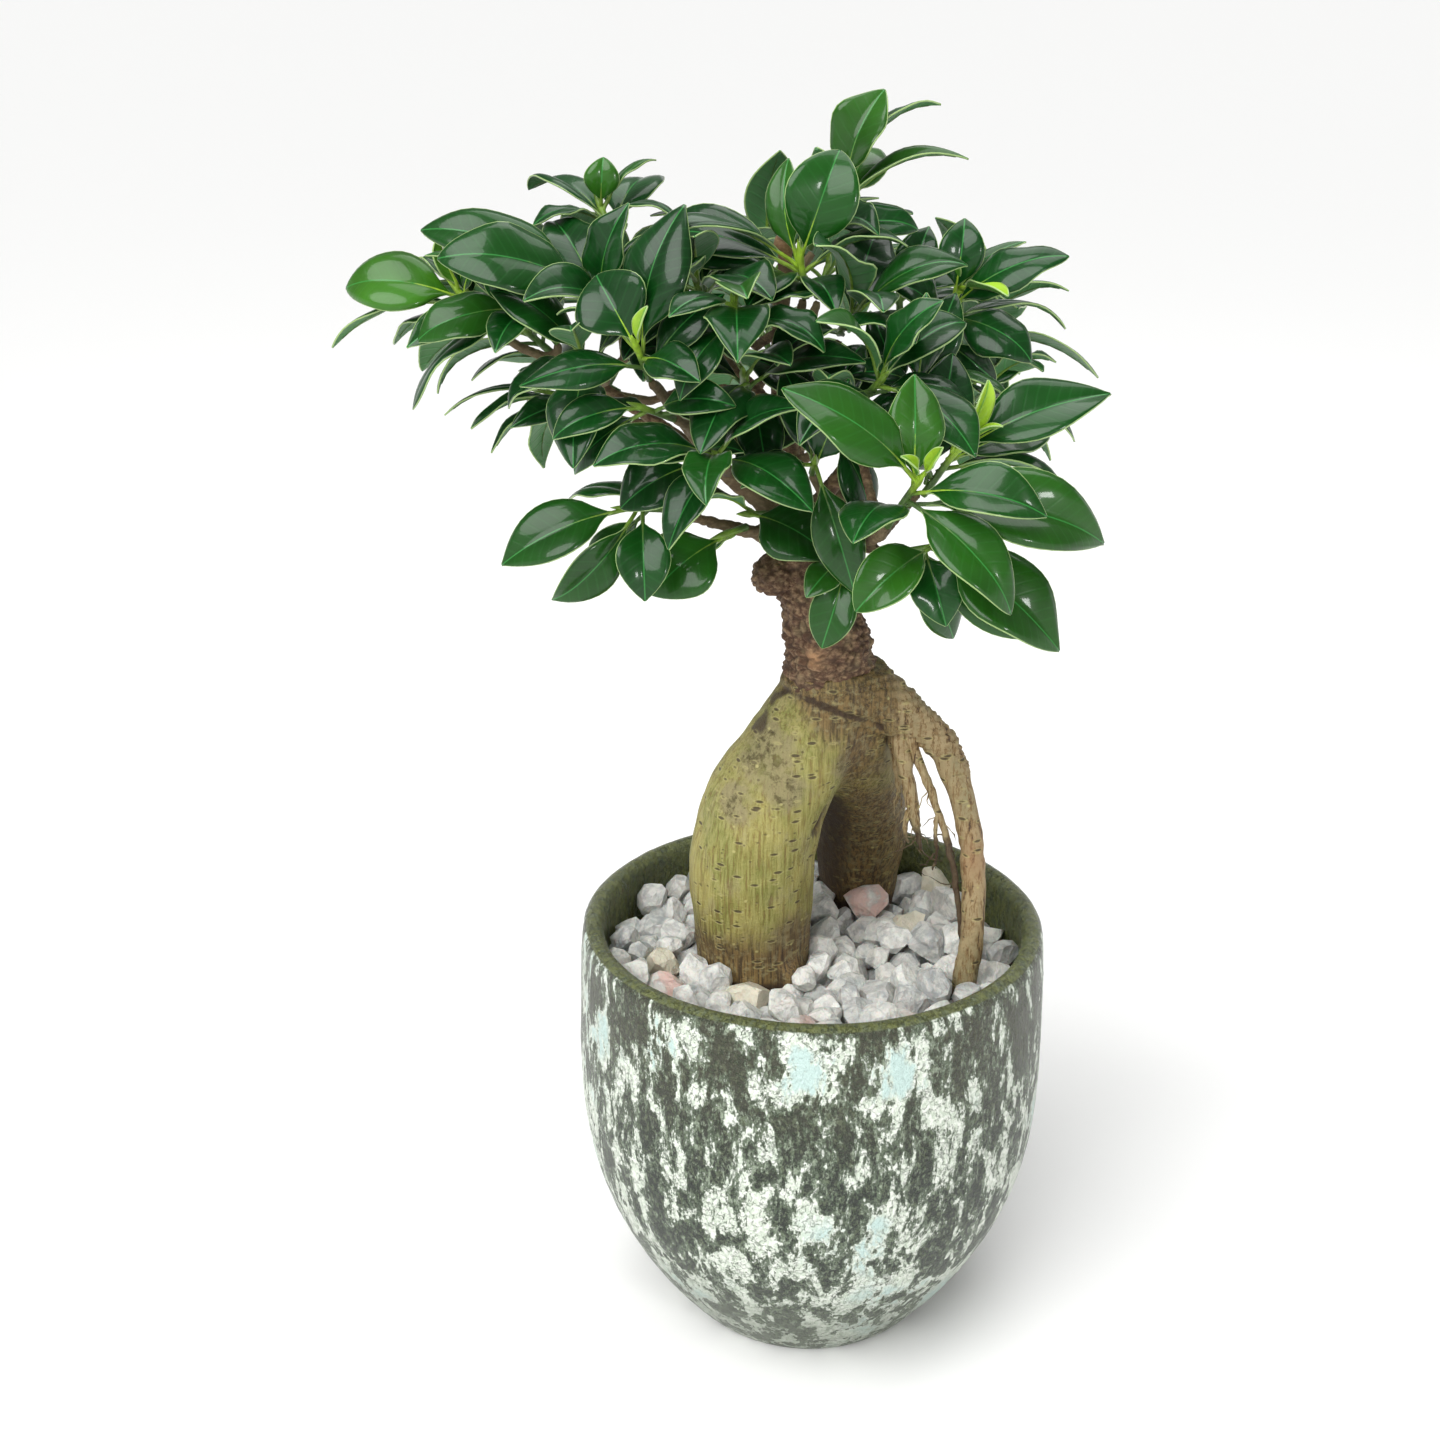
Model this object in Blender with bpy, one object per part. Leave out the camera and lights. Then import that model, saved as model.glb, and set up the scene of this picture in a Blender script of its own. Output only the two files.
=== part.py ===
"""A grafted ficus bonsai in a glazed, egg-shaped pot topped with stone chips.

Metres, +Z up. The origin is the centre of the pot's foot, and -Y is the tree's front.
The tree's own points are in millimetres: x to the right, y to the back, z above the gravel.
"""

import math

import bmesh
import bpy
from mathutils import Matrix, Vector, noise
from mathutils.bvhtree import BVHTree

MM = 0.001
GAP = 0.0003  # Clearance between pieces that touch.
CUTTER_SIZE = 0.06

# Pot
POT_HEIGHT = 0.133
POT_FOOT_RADIUS = 0.0374
POT_BELLY_RADIUS = 0.0710
POT_RIM_RADIUS = 0.0697
POT_BELLY_HEIGHT = 0.080
POT_BELLY_FULLNESS = 2.1  # 2 is a parabola from foot to belly; more is fuller near the foot.
POT_WALL = 0.0066
POT_FLOOR = 0.009
POT_FLOOR_CORNER = 0.006
POT_FOOT_BEVEL = 0.0012
POT_SIDES = 40

# Fill
GRAVEL_DROP = 0.015  # From the rim down to the gravel.
GRAVEL_DEPTH = 0.016
GRAVEL_LUMP = 0.0016
SOIL_LUMP = 0.0012
FILL_RINGS = (0.86, 0.7, 0.54, 0.38, 0.2)
FILL_SIDES = POT_SIDES // 2  # Their corners line up with the pot's, so they stay inside it.
GRAVEL_TOP = POT_HEIGHT - GRAVEL_DROP
SOIL_TOP = GRAVEL_TOP - GRAVEL_DEPTH

# Tree
CROWN_SPREAD = 1.0  # Scales the limbs' and shoots' places sideways.
CROWN_RISE = 1.0  # Scales their heights above the graft.
ROOT_GIRTH = 1.0  # Scales the fleshy roots' thickness.
ROOT_ROOM = 0.0630  # The room inside the pot's rim that the roots' points are given for.
PROP_ROOT_RADIUS = 0.0042
GRAFT_HEIGHT = 0.095  # Above the gravel.
TWIG_RADIUS = 0.0013
TWIG_STEPS = 3
TWIG_FLARE = 0.25  # How much thicker a twig is where it leaves its limb.
TWIG_BEND = 0.45  # How soon a twig turns into its shoot's direction, of its length.
ROOT_VOXEL = 0.0019
ROOT_DETAIL = 0.088  # The share of the remeshed roots' faces that is kept.

# Shoots and leaves
SHOOT_RADIUS = 0.00115
BUD_LENGTH = 0.0065
LEAF_WIDTH = 0.47  # Of a leaf's length.
LEAF_THICKNESS = 0.0010
LEAF_FOLD = 0.20  # How far the margins rise above the midrib, of the half width.
LEAF_ARCH = 0.16  # How far the midrib bulges, of the leaf's length.
LEAF_SPACING = 0.0026  # Between two leaves' stalks along a shoot.
PETIOLE_WIDTH = 0.0007
LEAF_SCALE = 1.0
LEAF_STATIONS = ((0.26, 0.62), (0.50, 1.0), (0.79, 0.74))  # Along, half width.
PETIOLE_END = 0.11
BUD_ROOM = 0.0035  # The length of green stem below the oldest leaf's stalk.
GOLDEN_ANGLE = math.radians(137.5)
YOUNGEST_ANGLE = math.radians(38)  # Between the stem and the youngest leaf on a spiral shoot.
OLDEST_ANGLE = math.radians(96)
SPIRAL_TURN = 900  # Starts each spiral at another angle, in radians per metre across the tree.
LEAF_REACH = 0.75  # Leaves whose middles are farther apart than this share of their lengths can't touch.
SEARCH_STEP = math.radians(3.2)
SEARCH_TRIES = 900
SEARCH_SHRINK = 0.0007  # The share of its length that a leaf gives up at each try.
LEAF_CLEARANCE = 0.0005

# Which way a leaf's upper face looks.
UP = (0, 0, 1)
FRONT = (0, -1, 0.25)
HIGH_FRONT = (0, -1, 1)
LEFT_FRONT = (-0.8, -1, 0.3)
RIGHT_FRONT = (0.8, -1, 0.4)
LEFT = (-1, -0.2, 0.4)
RIGHT = (1, -0.2, 0.5)

# Fleshy roots: points down each one's middle (x, y, z) and its radius there, in millimetres.
ROOTS = {
    "front_left": (
        ((5, 0, 103), 12.5), ((4, 0, 90), 13), ((0, 0, 80), 14.6), ((-6, -1, 68), 16.4),
        ((-14, -2, 54), 18.2), ((-17.5, -2, 42), 18.8), ((-18.5, -2, 32), 19.2),
        ((-18.3, -2, 20), 18.6), ((-18, -2, 8), 17.6), ((-18, -2, -4), 16.5),
        ((-17, -1, -18), 12), ((-14, 1, -32), 6.5),
    ),
    "back_right": (
        ((6, 1, 98), 12.5), ((8, 4, 84), 14), ((11, 12, 68), 15.2), ((14, 24, 54), 15.4),
        ((16, 35, 40), 15), ((17, 42, 24), 14.6), ((17, 46, 10), 13.4), ((17, 47, -4), 11.5),
        ((16, 46, -16), 8.5), ((14, 42, -28), 5),
    ),
}

# The woody prop root, from the neck down into the gravel.
PROP_ROOT = (
    ((10, 0, 86), 7.5), ((19, -2, 86), 7), ((29, -4, 80), 5.4), ((37, -6, 72), 4.8),
    ((42, -9, 60), 4.5), ((45, -12, 48), 4.2), ((46.8, -15, 32), 4), ((46.5, -18, 17), 4),
    ((44.5, -19.5, 2), 4.3), ((43, -20, -10), 4), ((39, -19, -24), 2.6),
)
PROP_ROOT_NOMINAL = 4.2

# Knots and burrs: centre and radii in millimetres.
ROOT_KNOTS = (
    ((11, -7, 88), (7, 6, 6)), ((16, -3, 92), (6, 6, 5)), ((-7, -14, 1), (4.5, 4, 4.5)),
    ((1, -9, 76), (8, 6, 7)), ((22, -5, 80), (5, 4.5, 4)),
)
TRUNK_KNOTS = (
    ((-12.5, -2, 124), (6.5, 6, 6)), ((8, -7, 101), (6, 5.5, 5.5)), ((-4, 7, 114), (7, 6, 7)),
    ((6, 5, 108), (7, 6, 6)), ((-9, -3, 136), (4.5, 4.5, 5)), ((-11, -3, 216), (2.8, 2.8, 3.4)),
)

# Limbs of the grafted wood: points (x, y, z) down each one's middle, then its radius, shared
# evenly along it, in millimetres.
LIMBS = {
    "trunk": (
        ((4.5, 0, 91), (2, -1, 106), (-2, -1, 119), (-6, 0, 132), (-8, 0, 146), (-10, 0, 164),
         (-12, -1, 184), (-11, -2, 201), (-10.5, -3, 216)),
        (13.2, 11.8, 8.4, 6.0, 4.6, 3.3, 2.5, 2.1, 1.9)),
    "left": (
        ((-7, 0, 134), (-17, -2, 146), (-27, -6, 155), (-35, -10, 166), (-41, -15, 175),
         (-45, -21, 182)), (4.0, 3.4, 2.7, 2.2, 1.9, 1.6)),
    "far_left": (
        ((-27, -5, 155), (-44, 1, 166), (-62, 4, 177), (-76, 5, 184)), (2.2, 1.9, 1.6, 1.4)),
    "low_left": (
        ((-5, -2, 130), (-18, -6, 137), (-30, -9, 141), (-40, -13, 145)), (2.4, 1.9, 1.6, 1.4)),
    "upper_left": (
        ((-10, 0, 168), (-27, 7, 183), (-43, 13, 197), (-54, 17, 207)), (2.2, 1.8, 1.5, 1.4)),
    "right": (
        ((-6, 0, 137), (6, 1, 152), (18, 2, 168), (27, 2, 180)), (3.2, 2.4, 1.9, 1.6)),
    "front_right": (
        ((-2, -2, 124), (4, -16, 133), (10, -30, 141), (14, -41, 147)), (3.2, 2.6, 2.0, 1.7)),
    "back_left": (
        ((-8, 2, 140), (-22, 20, 154), (-37, 37, 168), (-48, 49, 179)), (3.0, 2.3, 1.8, 1.5)),
    "back": (
        ((-7, 3, 146), (-6, 22, 162), (-4, 40, 178), (0, 53, 188)), (3.0, 2.3, 1.8, 1.5)),
    "back_right": (
        ((-3, 2, 134), (12, 20, 148), (27, 34, 162), (38, 44, 172)), (3.0, 2.3, 1.8, 1.5)),
}

# Shoots with leaves placed by hand: where the green stem starts and ends, and for each leaf its
# tip from the shoot's end, the way it looks and its share of the usual width, in millimetres.
SHOOTS = {
    "front_right": ((15, -47, 151), (21, -60, 166), (
        (-34, -4, 25, HIGH_FRONT, 0.9), (-1, 6, 26, FRONT, 1.1), (32, -10, -5, HIGH_FRONT, 0.9),
        (25, -15, -29, HIGH_FRONT, 0.85), (51, 8, -18, HIGH_FRONT, 0.85), (-17, -20, -9, UP, 1.2),
    )),
    "front_low": ((20, -43, 143), (27, -51, 147), (
        (-21, -14, -13, HIGH_FRONT, 1.1), (32, -10, -25, HIGH_FRONT, 1.1),
        (3, -8, -19, FRONT, 1.4), (7, 8, -28, FRONT, 0.9), (33, 6, -27, FRONT, 0.9),
    )),
    "front_mid": ((24, -33, 156), (32, -38, 168), (
        (4, -4, 12, LEFT_FRONT, 0.9), (41, 6, 14, HIGH_FRONT, 0.85), (27, 14, 2, HIGH_FRONT, 0.95),
        (33, 2, -9, UP, 0.6), (-18, -8, 10, HIGH_FRONT, 1.0), (10, 12, 22, FRONT, 0.95),
    )),
    "mid_right": ((20, -11, 173), (26, -18, 182), (
        (24, -6, -4, UP, 0.85), (-22, -6, 4, HIGH_FRONT, 0.9), (2, -6, 24, FRONT, 0.9),
        (-10, -24, 8, UP, 0.9), (16, 2, 20, FRONT, 0.9), (-14, 8, 18, FRONT, 0.9),
    )),
    "right": ((31, 2, 187), (36, 3, 202), (
        (11, -6, 0, UP, 1.0), (6, 1, 20, FRONT, 1.2), (18, 8, 15, UP, 0.6),
        (34, -8, 5, HIGH_FRONT, 0.8), (20, -18, -14, HIGH_FRONT, 1.2), (33, 8, -9, UP, 0.6),
        (-18, -12, 6, HIGH_FRONT, 1.2), (12, -4, -24, FRONT, 0.8),
    )),
    "right_back": ((22, 12, 190), (22, 19, 200), (
        (-16, -12, 8, HIGH_FRONT, 1.3), (8, 2, 18, FRONT, 1.2), (26, 12, 5, HIGH_FRONT, 0.9),
        (-14, 16, 12, HIGH_FRONT, 1.1), (4, 34, 4, UP, 1.0), (26, 24, -8, UP, 1.0),
    )),
    "top_right": ((-3, 8, 212), (6, 12, 227), (
        (10, 3, 27, LEFT_FRONT, 1.2), (25, 8, 25, LEFT, 0.7), (12, 12, 19, FRONT, 1.1),
        (29, 14, 15, LEFT, 0.45), (8, -22, -6, HIGH_FRONT, 1.0), (21, -4, -8, HIGH_FRONT, 0.9),
        (4, 34, 6, UP, 1.0),
    )),
    "top": ((-6, -6, 202), (-7, -8, 212), (
        (10, 0, 30, FRONT, 1.3), (-3, 8, 26, LEFT_FRONT, 0.8), (-42, -12, 9, UP, 0.8),
        (-35, 20, 19, HIGH_FRONT, 0.8), (27, 0, 11, UP, 0.8), (-14, -22, -8, UP, 1.1),
        (9, -21, -9, UP, 1.0), (-38, 32, 10, HIGH_FRONT, 0.8),
    )),
    "top_left": ((-56, 19, 211), (-61, 24, 222), (
        (1, -2, 14, FRONT, 1.5), (15, 4, 14, LEFT, 0.8), (22, -12, 0, UP, 0.8),
        (-18, -14, -2, UP, 0.9), (-20, 18, 8, UP, 1.0), (14, 30, 4, UP, 1.0),
        (4, -24, -6, HIGH_FRONT, 0.9),
    )),
    "left_far": ((-89, 7, 191), (-98, 8, 200), (
        (5, -4, 11, LEFT_FRONT, 0.8), (-34, 2, 3, HIGH_FRONT, 1.15), (-3, 8, 22, LEFT_FRONT, 1.0),
        (-39, 10, -16, UP, 0.45), (-18, 24, 6, UP, 1.0), (-14, -18, -10, HIGH_FRONT, 0.9),
        (-24, 18, -12, UP, 0.9),
    )),
    "left_upper": ((-55, -3, 193), (-62, -5, 204), (
        (-46, 0, 17, HIGH_FRONT, 0.75), (-40, -14, 12, HIGH_FRONT, 0.95), (-12, 22, 16, HIGH_FRONT, 1.0),
        (10, -6, 24, LEFT_FRONT, 1.0), (-16, -26, 4, HIGH_FRONT, 0.9), (24, 12, 12, HIGH_FRONT, 1.0),
    )),
    "left_mid": ((-73, 4, 188), (-80, 0, 199), (
        (-8, -8, 18, FRONT, 1.5), (-31, -8, -7, HIGH_FRONT, 1.0), (-38, 8, -20, UP, 0.8),
        (-8, -26, -8, UP, 0.9), (-30, -18, 3, UP, 0.5), (-24, 18, 10, HIGH_FRONT, 1.0),
        (6, 28, 8, UP, 1.0),
    )),
    "centre_left": ((-46, -25, 184), (-49, -34, 194), (
        (-11, 8, 18, FRONT, 1.9), (-20, 6, 13, UP, 0.6), (16, -14, -5, HIGH_FRONT, 1.2),
        (14, 14, 34, LEFT_FRONT, 1.1), (-30, -6, -8, HIGH_FRONT, 0.8), (22, 6, 14, HIGH_FRONT, 0.9),
    )),
    "left_front": ((-40, -22, 173), (-48, -30, 178), (
        (-24, -10, -5, HIGH_FRONT, 0.9), (-20, -2, -17, HIGH_FRONT, 0.8),
        (24, -12, 4, HIGH_FRONT, 0.9), (27, 0, -4, HIGH_FRONT, 0.85), (-22, 12, -8, UP, 0.9),
    )),
    "left_back": ((-63, 13, 167), (-72, 17, 170), (
        (-35, 2, -5, UP, 0.45), (-26, -8, -7, UP, 0.5), (-21, -4, -15, UP, 0.5),
        (-14, 28, 2, UP, 0.9), (8, 30, 0, UP, 0.9), (-14, -18, -4, HIGH_FRONT, 0.8),
    )),
    "low_left": ((-43, -15, 146), (-52, -20, 148), (
        (-35, -6, -14, HIGH_FRONT, 1.0), (-22, -8, -25, RIGHT_FRONT, 0.8),
        (4, -14, -22, FRONT, 1.2), (-12, 6, -18, FRONT, 0.9), (-20, 24, -4, UP, 0.9),
    )),
    "low_centre": ((-21, -11, 139), (-26, -15, 139), (
        (-21, -10, -14, HIGH_FRONT, 1.65), (-14, 6, -2, RIGHT, 0.5),
    )),
    "limb_front": ((-31, -12, 158), (-34, -18, 160), (
        (-21, -8, -10, HIGH_FRONT, 1.5), (12, -18, 3, HIGH_FRONT, 0.9),
    )),
    "trunk_left": ((-15, -11, 144), (-20, -18, 146), (
        (22, -13, -8, HIGH_FRONT, 1.6), (-16, -10, 6, UP, 0.9),
    )),
    "centre_front": ((-3, -22, 158), (-3, -29, 163), (
        (11, -8, -34, FRONT, 0.8), (-20, -14, -2, HIGH_FRONT, 0.9), (8, -6, 24, FRONT, 0.9),
        (-8, 8, 24, HIGH_FRONT, 0.9),
    )),
    "trunk_front": ((2, -22, 135), (6, -30, 136), (
        (-7, -8, -22, FRONT, 1.1), (-11, -12, -3, HIGH_FRONT, 1.2),
    )),
}

# Shoots whose leaves follow the spiral that the plant grows them on: where the green stem starts
# and ends, the number of leaves and their length, in millimetres.
SPIRAL_SHOOTS = {
    "inner_left": ((-31, 0, 196), (-34, -7, 206), 6, 36),
    "inner_right": ((4, -4, 190), (8, -12, 199), 6, 36),
    "inner_front": ((-19, -12, 176), (-21, -21, 184), 6, 34),
    "inner_low": ((0, -16, 166), (1, -25, 173), 6, 34),
    "inner_far_left": ((-60, -8, 182), (-64, -16, 187), 5, 34),
    "inner_top": ((-32, 12, 190), (-36, 11, 199), 6, 34),
    "back_left": ((-50, 51, 182), (-56, 57, 192), 7, 42),
    "back_left_low": ((-58, 40, 166), (-67, 46, 170), 6, 40),
    "back_far_left": ((-76, 26, 180), (-85, 31, 187), 7, 38),
    "back_top": ((-12, 38, 194), (-14, 44, 203), 7, 38),
    "back": ((1, 56, 190), (4, 63, 198), 7, 40),
    "back_low": ((-12, 62, 170), (-14, 72, 175), 6, 42),
    "back_right": ((40, 46, 174), (47, 51, 181), 7, 40),
    "back_right_low": ((36, 52, 158), (44, 60, 162), 6, 40),
    "front_left": ((-27, -28, 162), (-29, -37, 167), 6, 34),
    "front_right_high": ((10, -30, 180), (13, -39, 187), 6, 34),
    "front_top": ((-22, -22, 196), (-24, -30, 205), 6, 34),
    "right_low": ((40, 20, 162), (46, 23, 169), 6, 32),
}


def srgb(code):
    """A hex colour as the linear colour that shaders take."""
    channels = [int(code[i : i + 2], 16) / 255 for i in (0, 2, 4)]
    linear = [c / 12.92 if c <= 0.04045 else ((c + 0.055) / 1.055) ** 2.4 for c in channels]
    return (*linear, 1)


def material(name, code, roughness):
    made = bpy.data.materials.new(name)
    made.use_nodes = True
    shader = made.node_tree.nodes["Principled BSDF"]
    shader.inputs["Base Color"].default_value = srgb(code)
    shader.inputs["Roughness"].default_value = roughness
    shader.inputs["Metallic"].default_value = 0
    return made


def add_object(name, bm, finish=None, helper=False):
    """Make an object of a bmesh; a helper is only a cutter or an operand."""
    mesh = bpy.data.meshes.new(name)
    bm.to_mesh(mesh)
    bm.free()
    obj = bpy.data.objects.new(name, mesh)
    bpy.context.scene.collection.objects.link(obj)
    if finish:
        mesh.materials.append(finish)
    if helper:
        obj.hide_render = True
        obj.display_type = "WIRE"
    return obj


def boolean(obj, name, operation, other=None, collection=None):
    modifier = obj.modifiers.new(name, "BOOLEAN")
    modifier.operation = operation
    modifier.solver = "EXACT"
    if collection:
        modifier.operand_type = "COLLECTION"
        modifier.collection = collection
    else:
        modifier.object = other


def group(name, objects):
    made = bpy.data.collections.new(name)
    bpy.context.scene.collection.children.link(made)
    for obj in objects:
        bpy.context.scene.collection.objects.unlink(obj)
        made.objects.link(obj)
    return made


# Places and curves


def tree_point(point):
    """A point of the tree, in metres from the pot's foot; the crown grows with its two scales."""
    x, y, z = (value * MM for value in point)
    above_graft = max(z - GRAFT_HEIGHT, 0)
    share = min(above_graft / GRAFT_HEIGHT, 1)
    spread = 1 + (CROWN_SPREAD - 1) * share
    rise = above_graft * (CROWN_RISE - 1)
    return Vector((x * spread, y * spread, GRAVEL_TOP + z + rise))


def root_point(point, radius=0.0, girth=1.0):
    """A point of a root: in the pot, the root's outer side keeps its share of the room in the pot."""
    x, y, z = (value * MM for value in point)
    place = Vector((x, y, 0))
    height = GRAVEL_TOP + z
    room = min(pot_clear_radius(level) for level in (height, height + radius * girth))
    fitted = (place.length + radius) * room / ROOT_ROOM - radius * girth
    share = min(max((height - POT_HEIGHT) / (GRAFT_HEIGHT - GRAVEL_DROP), 0), 1)
    if place.length > 0:
        place *= (fitted + (place.length - fitted) * share) / place.length
    return Vector((place.x, place.y, height))


def smooth_path(points, steps):
    """Catmull-Rom points through points, with steps of them to each stretch."""
    ends = [2 * points[0] - points[1], *points, 2 * points[-1] - points[-2]]
    path = []
    for a, b, c, d in zip(ends, ends[1:], ends[2:], ends[3:]):
        for step in range(steps):
            t = step / steps
            path.append(
                0.5 * (2 * b + (c - a) * t + (2 * a - 5 * b + 4 * c - d) * t**2
                       + (3 * b - a - 3 * c + d) * t**3)
            )
    return [*path, points[-1]]


def tube(path, radii, sides, pointed=False):
    """A closed tube along a path; a pointed one ends in a single vertex."""
    bm = bmesh.new()
    rings = []
    side = path[1] - path[0]
    across = side.orthogonal().normalized()
    for i, (place, radius) in enumerate(zip(path, radii)):
        along = (path[min(i + 1, len(path) - 1)] - path[max(i - 1, 0)]).normalized()
        across = (across - along * across.dot(along)).normalized()
        third = along.cross(across)
        if pointed and i == len(path) - 1:
            rings.append([bm.verts.new(place)])
            continue
        ring = []
        for k in range(sides):
            angle = 2 * math.pi * k / sides
            ring.append(bm.verts.new(place + radius * (across * math.cos(angle) + third * math.sin(angle))))
        rings.append(ring)
    close_rings(bm, rings)
    return bm


def close_rings(bm, rings):
    """Skin rings of vertices one after another and cap the ends; a ring may be one vertex."""
    bm.faces.new(list(reversed(rings[0])))
    for low, high in zip(rings, rings[1:]):
        for k in range(len(low)):
            a, b = low[k], low[(k + 1) % len(low)]
            if len(high) == 1:
                bm.faces.new((a, b, high[0]))
            else:
                bm.faces.new((a, b, high[(k + 1) % len(high)], high[k]))
    if len(rings[-1]) > 1:
        bm.faces.new(rings[-1])


def turned(profile, sides):
    """A solid turned about Z from (radius, height) points that start and end on the axis."""
    bm = bmesh.new()
    verts = [bm.verts.new((radius, 0, height)) for radius, height in profile]
    edges = [bm.edges.new(pair) for pair in zip(verts, verts[1:])]
    bmesh.ops.spin(
        bm, geom=verts + edges, cent=(0, 0, 0), axis=(0, 0, 1), angle=2 * math.pi, steps=sides, use_merge=True,
    )
    bmesh.ops.remove_doubles(bm, verts=bm.verts, dist=1e-6)
    bmesh.ops.recalc_face_normals(bm, faces=bm.faces)
    return bm


# Pot and fill


def pot_radius(height):
    """The pot's outer radius: a full curve from foot to belly, then drawn in a little to the rim."""
    if height < POT_BELLY_HEIGHT:
        share = 1 - (1 - height / POT_BELLY_HEIGHT) ** POT_BELLY_FULLNESS
        return POT_FOOT_RADIUS + (POT_BELLY_RADIUS - POT_FOOT_RADIUS) * share
    share = (height - POT_BELLY_HEIGHT) / (POT_HEIGHT - POT_BELLY_HEIGHT)
    return POT_BELLY_RADIUS - (POT_BELLY_RADIUS - POT_RIM_RADIUS) * share**3


def pot_inner_radius(height):
    return pot_radius(height) - POT_WALL


def heights(low, high, count):
    return [low + (high - low) * i / (count - 1) for i in range(count)]


def pot_inside():
    """The pot's inner outline as (radius, height) points, from the floor's edge up to the lip."""
    outline = [(pot_inner_radius(POT_FLOOR) - POT_FLOOR_CORNER, POT_FLOOR)]
    for height in heights(POT_FLOOR + POT_FLOOR_CORNER, POT_HEIGHT - POT_WALL / 2, 7):
        outline.append((pot_inner_radius(height), height))
    return outline


def pot_clear_radius(height):
    """The radius that fits inside the pot's wall at a height, with the clearance."""
    outline = pot_inside()
    for (low_radius, low), (high_radius, high) in zip(outline, outline[1:]):
        if height <= high:
            share = (height - low) / (high - low)
            return low_radius + (high_radius - low_radius) * share - GAP * 1.5
    return outline[-1][0] - GAP


def make_pot(glaze):
    lip = POT_WALL / 2
    profile = [(0, 0), (POT_FOOT_RADIUS - POT_FOOT_BEVEL, 0)]
    for height in heights(POT_FOOT_BEVEL, POT_HEIGHT - lip, 11):
        profile.append((pot_radius(height), height))
    middle = pot_radius(POT_HEIGHT - lip) - lip
    for k in range(1, 4):
        angle = math.pi * k / 4
        profile.append((middle + lip * math.cos(angle), POT_HEIGHT - lip + lip * math.sin(angle)))
    profile += reversed(pot_inside())
    profile.append((0, POT_FLOOR))
    return add_object("ceramic_pot", turned(profile, POT_SIDES), glaze)


def make_fill(name, bottom, top, lump, cutter, finish):
    """A layer that fills the pot from wall to wall, with a lumpy top and holes for the roots."""
    profile = [(0, bottom)]
    between = [height for _, height in pot_inside() if bottom < height < top]
    for height in (bottom, *between, top):
        profile.append((pot_clear_radius(height), height))
    edge = pot_clear_radius(top)
    profile += [(edge * share, top) for share in FILL_RINGS]
    profile.append((0, top))
    bm = turned(profile, FILL_SIDES)
    for vert in bm.verts:
        if abs(vert.co.z - top) < 1e-6 and vert.co.xy.length < edge - 0.001:
            vert.co.z += lump * noise.noise(vert.co / 0.009)
    layer = add_object(name, bm, finish)
    boolean(layer, "Root holes", "DIFFERENCE", cutter)
    return layer


# Wood


def cut_level(obj, height, side):
    """Cut the object off level at a height, above it where side is 1 or below it where -1."""
    bm = bmesh.new()
    bmesh.ops.create_cube(bm, size=CUTTER_SIZE)
    bmesh.ops.translate(bm, vec=(0, 0, height + side * CUTTER_SIZE / 2), verts=bm.verts)
    boolean(obj, "Graft face", "DIFFERENCE", add_object(f"{obj.name}_cutter", bm, helper=True))


def knots(name, table, place):
    made = []
    for i, (centre, radii) in enumerate(table):
        bm = bmesh.new()
        bmesh.ops.create_icosphere(bm, subdivisions=2, radius=1)
        bmesh.ops.scale(bm, vec=Vector(radii) * MM, verts=bm.verts)
        bmesh.ops.rotate(bm, cent=(0, 0, 0), matrix=Matrix.Rotation(0.6 * (i + 1), 3, "X"), verts=bm.verts)
        bmesh.ops.translate(bm, vec=place(centre), verts=bm.verts)
        made.append(add_object(f"{name}_{i + 1}", bm, helper=True))
    return made


def even_radii(radii, steps):
    """Radii between those given, so that each path point has one."""
    values = [Vector((radius, 0, 0)) for radius in radii]
    return [value.x for value in smooth_path(values, steps)]


def root_tube(name, table, girth):
    path = smooth_path([root_point(point, radius * MM, girth) for point, radius in table], 3)
    radii = even_radii([radius * MM * girth for _, radius in table], 3)
    bm = tube(path, radii, 20)
    return add_object(name, bm, helper=True)


def make_rootstock(bark):
    """Both fleshy roots, the neck and the prop root, grown together and cut off level at the graft."""
    pieces = [root_tube(f"root_{name}", table, ROOT_GIRTH) for name, table in ROOTS.items()]
    prop_girth = PROP_ROOT_RADIUS / (PROP_ROOT_NOMINAL * MM)
    pieces.append(root_tube("root_prop", PROP_ROOT, prop_girth))
    pieces += knots("root_knot", ROOT_KNOTS, root_point)
    bm = bmesh.new()
    for piece in pieces:
        bm.from_mesh(piece.data)
        bpy.data.objects.remove(piece)
    rootstock = add_object("rootstock", bm, bark)
    remesh = rootstock.modifiers.new("Grow together", "REMESH")
    remesh.mode = "VOXEL"
    remesh.voxel_size = ROOT_VOXEL
    smooth = rootstock.modifiers.new("Soften", "SMOOTH")
    smooth.iterations = 6
    smooth.factor = 0.5
    decimate = rootstock.modifiers.new("Thin out", "DECIMATE")
    decimate.ratio = ROOT_DETAIL
    cut_level(rootstock, GRAVEL_TOP + GRAFT_HEIGHT, 1)
    return rootstock


def make_root_cutter(rootstock):
    """The rootstock, fattened by the clearance, to cut its holes in the gravel and the soil."""
    cutter = rootstock.copy()
    cutter.data = rootstock.data.copy()
    cutter.name = "root_cutter"
    bpy.context.scene.collection.objects.link(cutter)
    cutter.modifiers.remove(cutter.modifiers["Graft face"])
    fatten = cutter.modifiers.new("Clearance", "DISPLACE")
    fatten.strength = GAP * 1.6
    fatten.mid_level = 0
    cutter.hide_render = True
    cutter.display_type = "WIRE"
    return cutter


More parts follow.
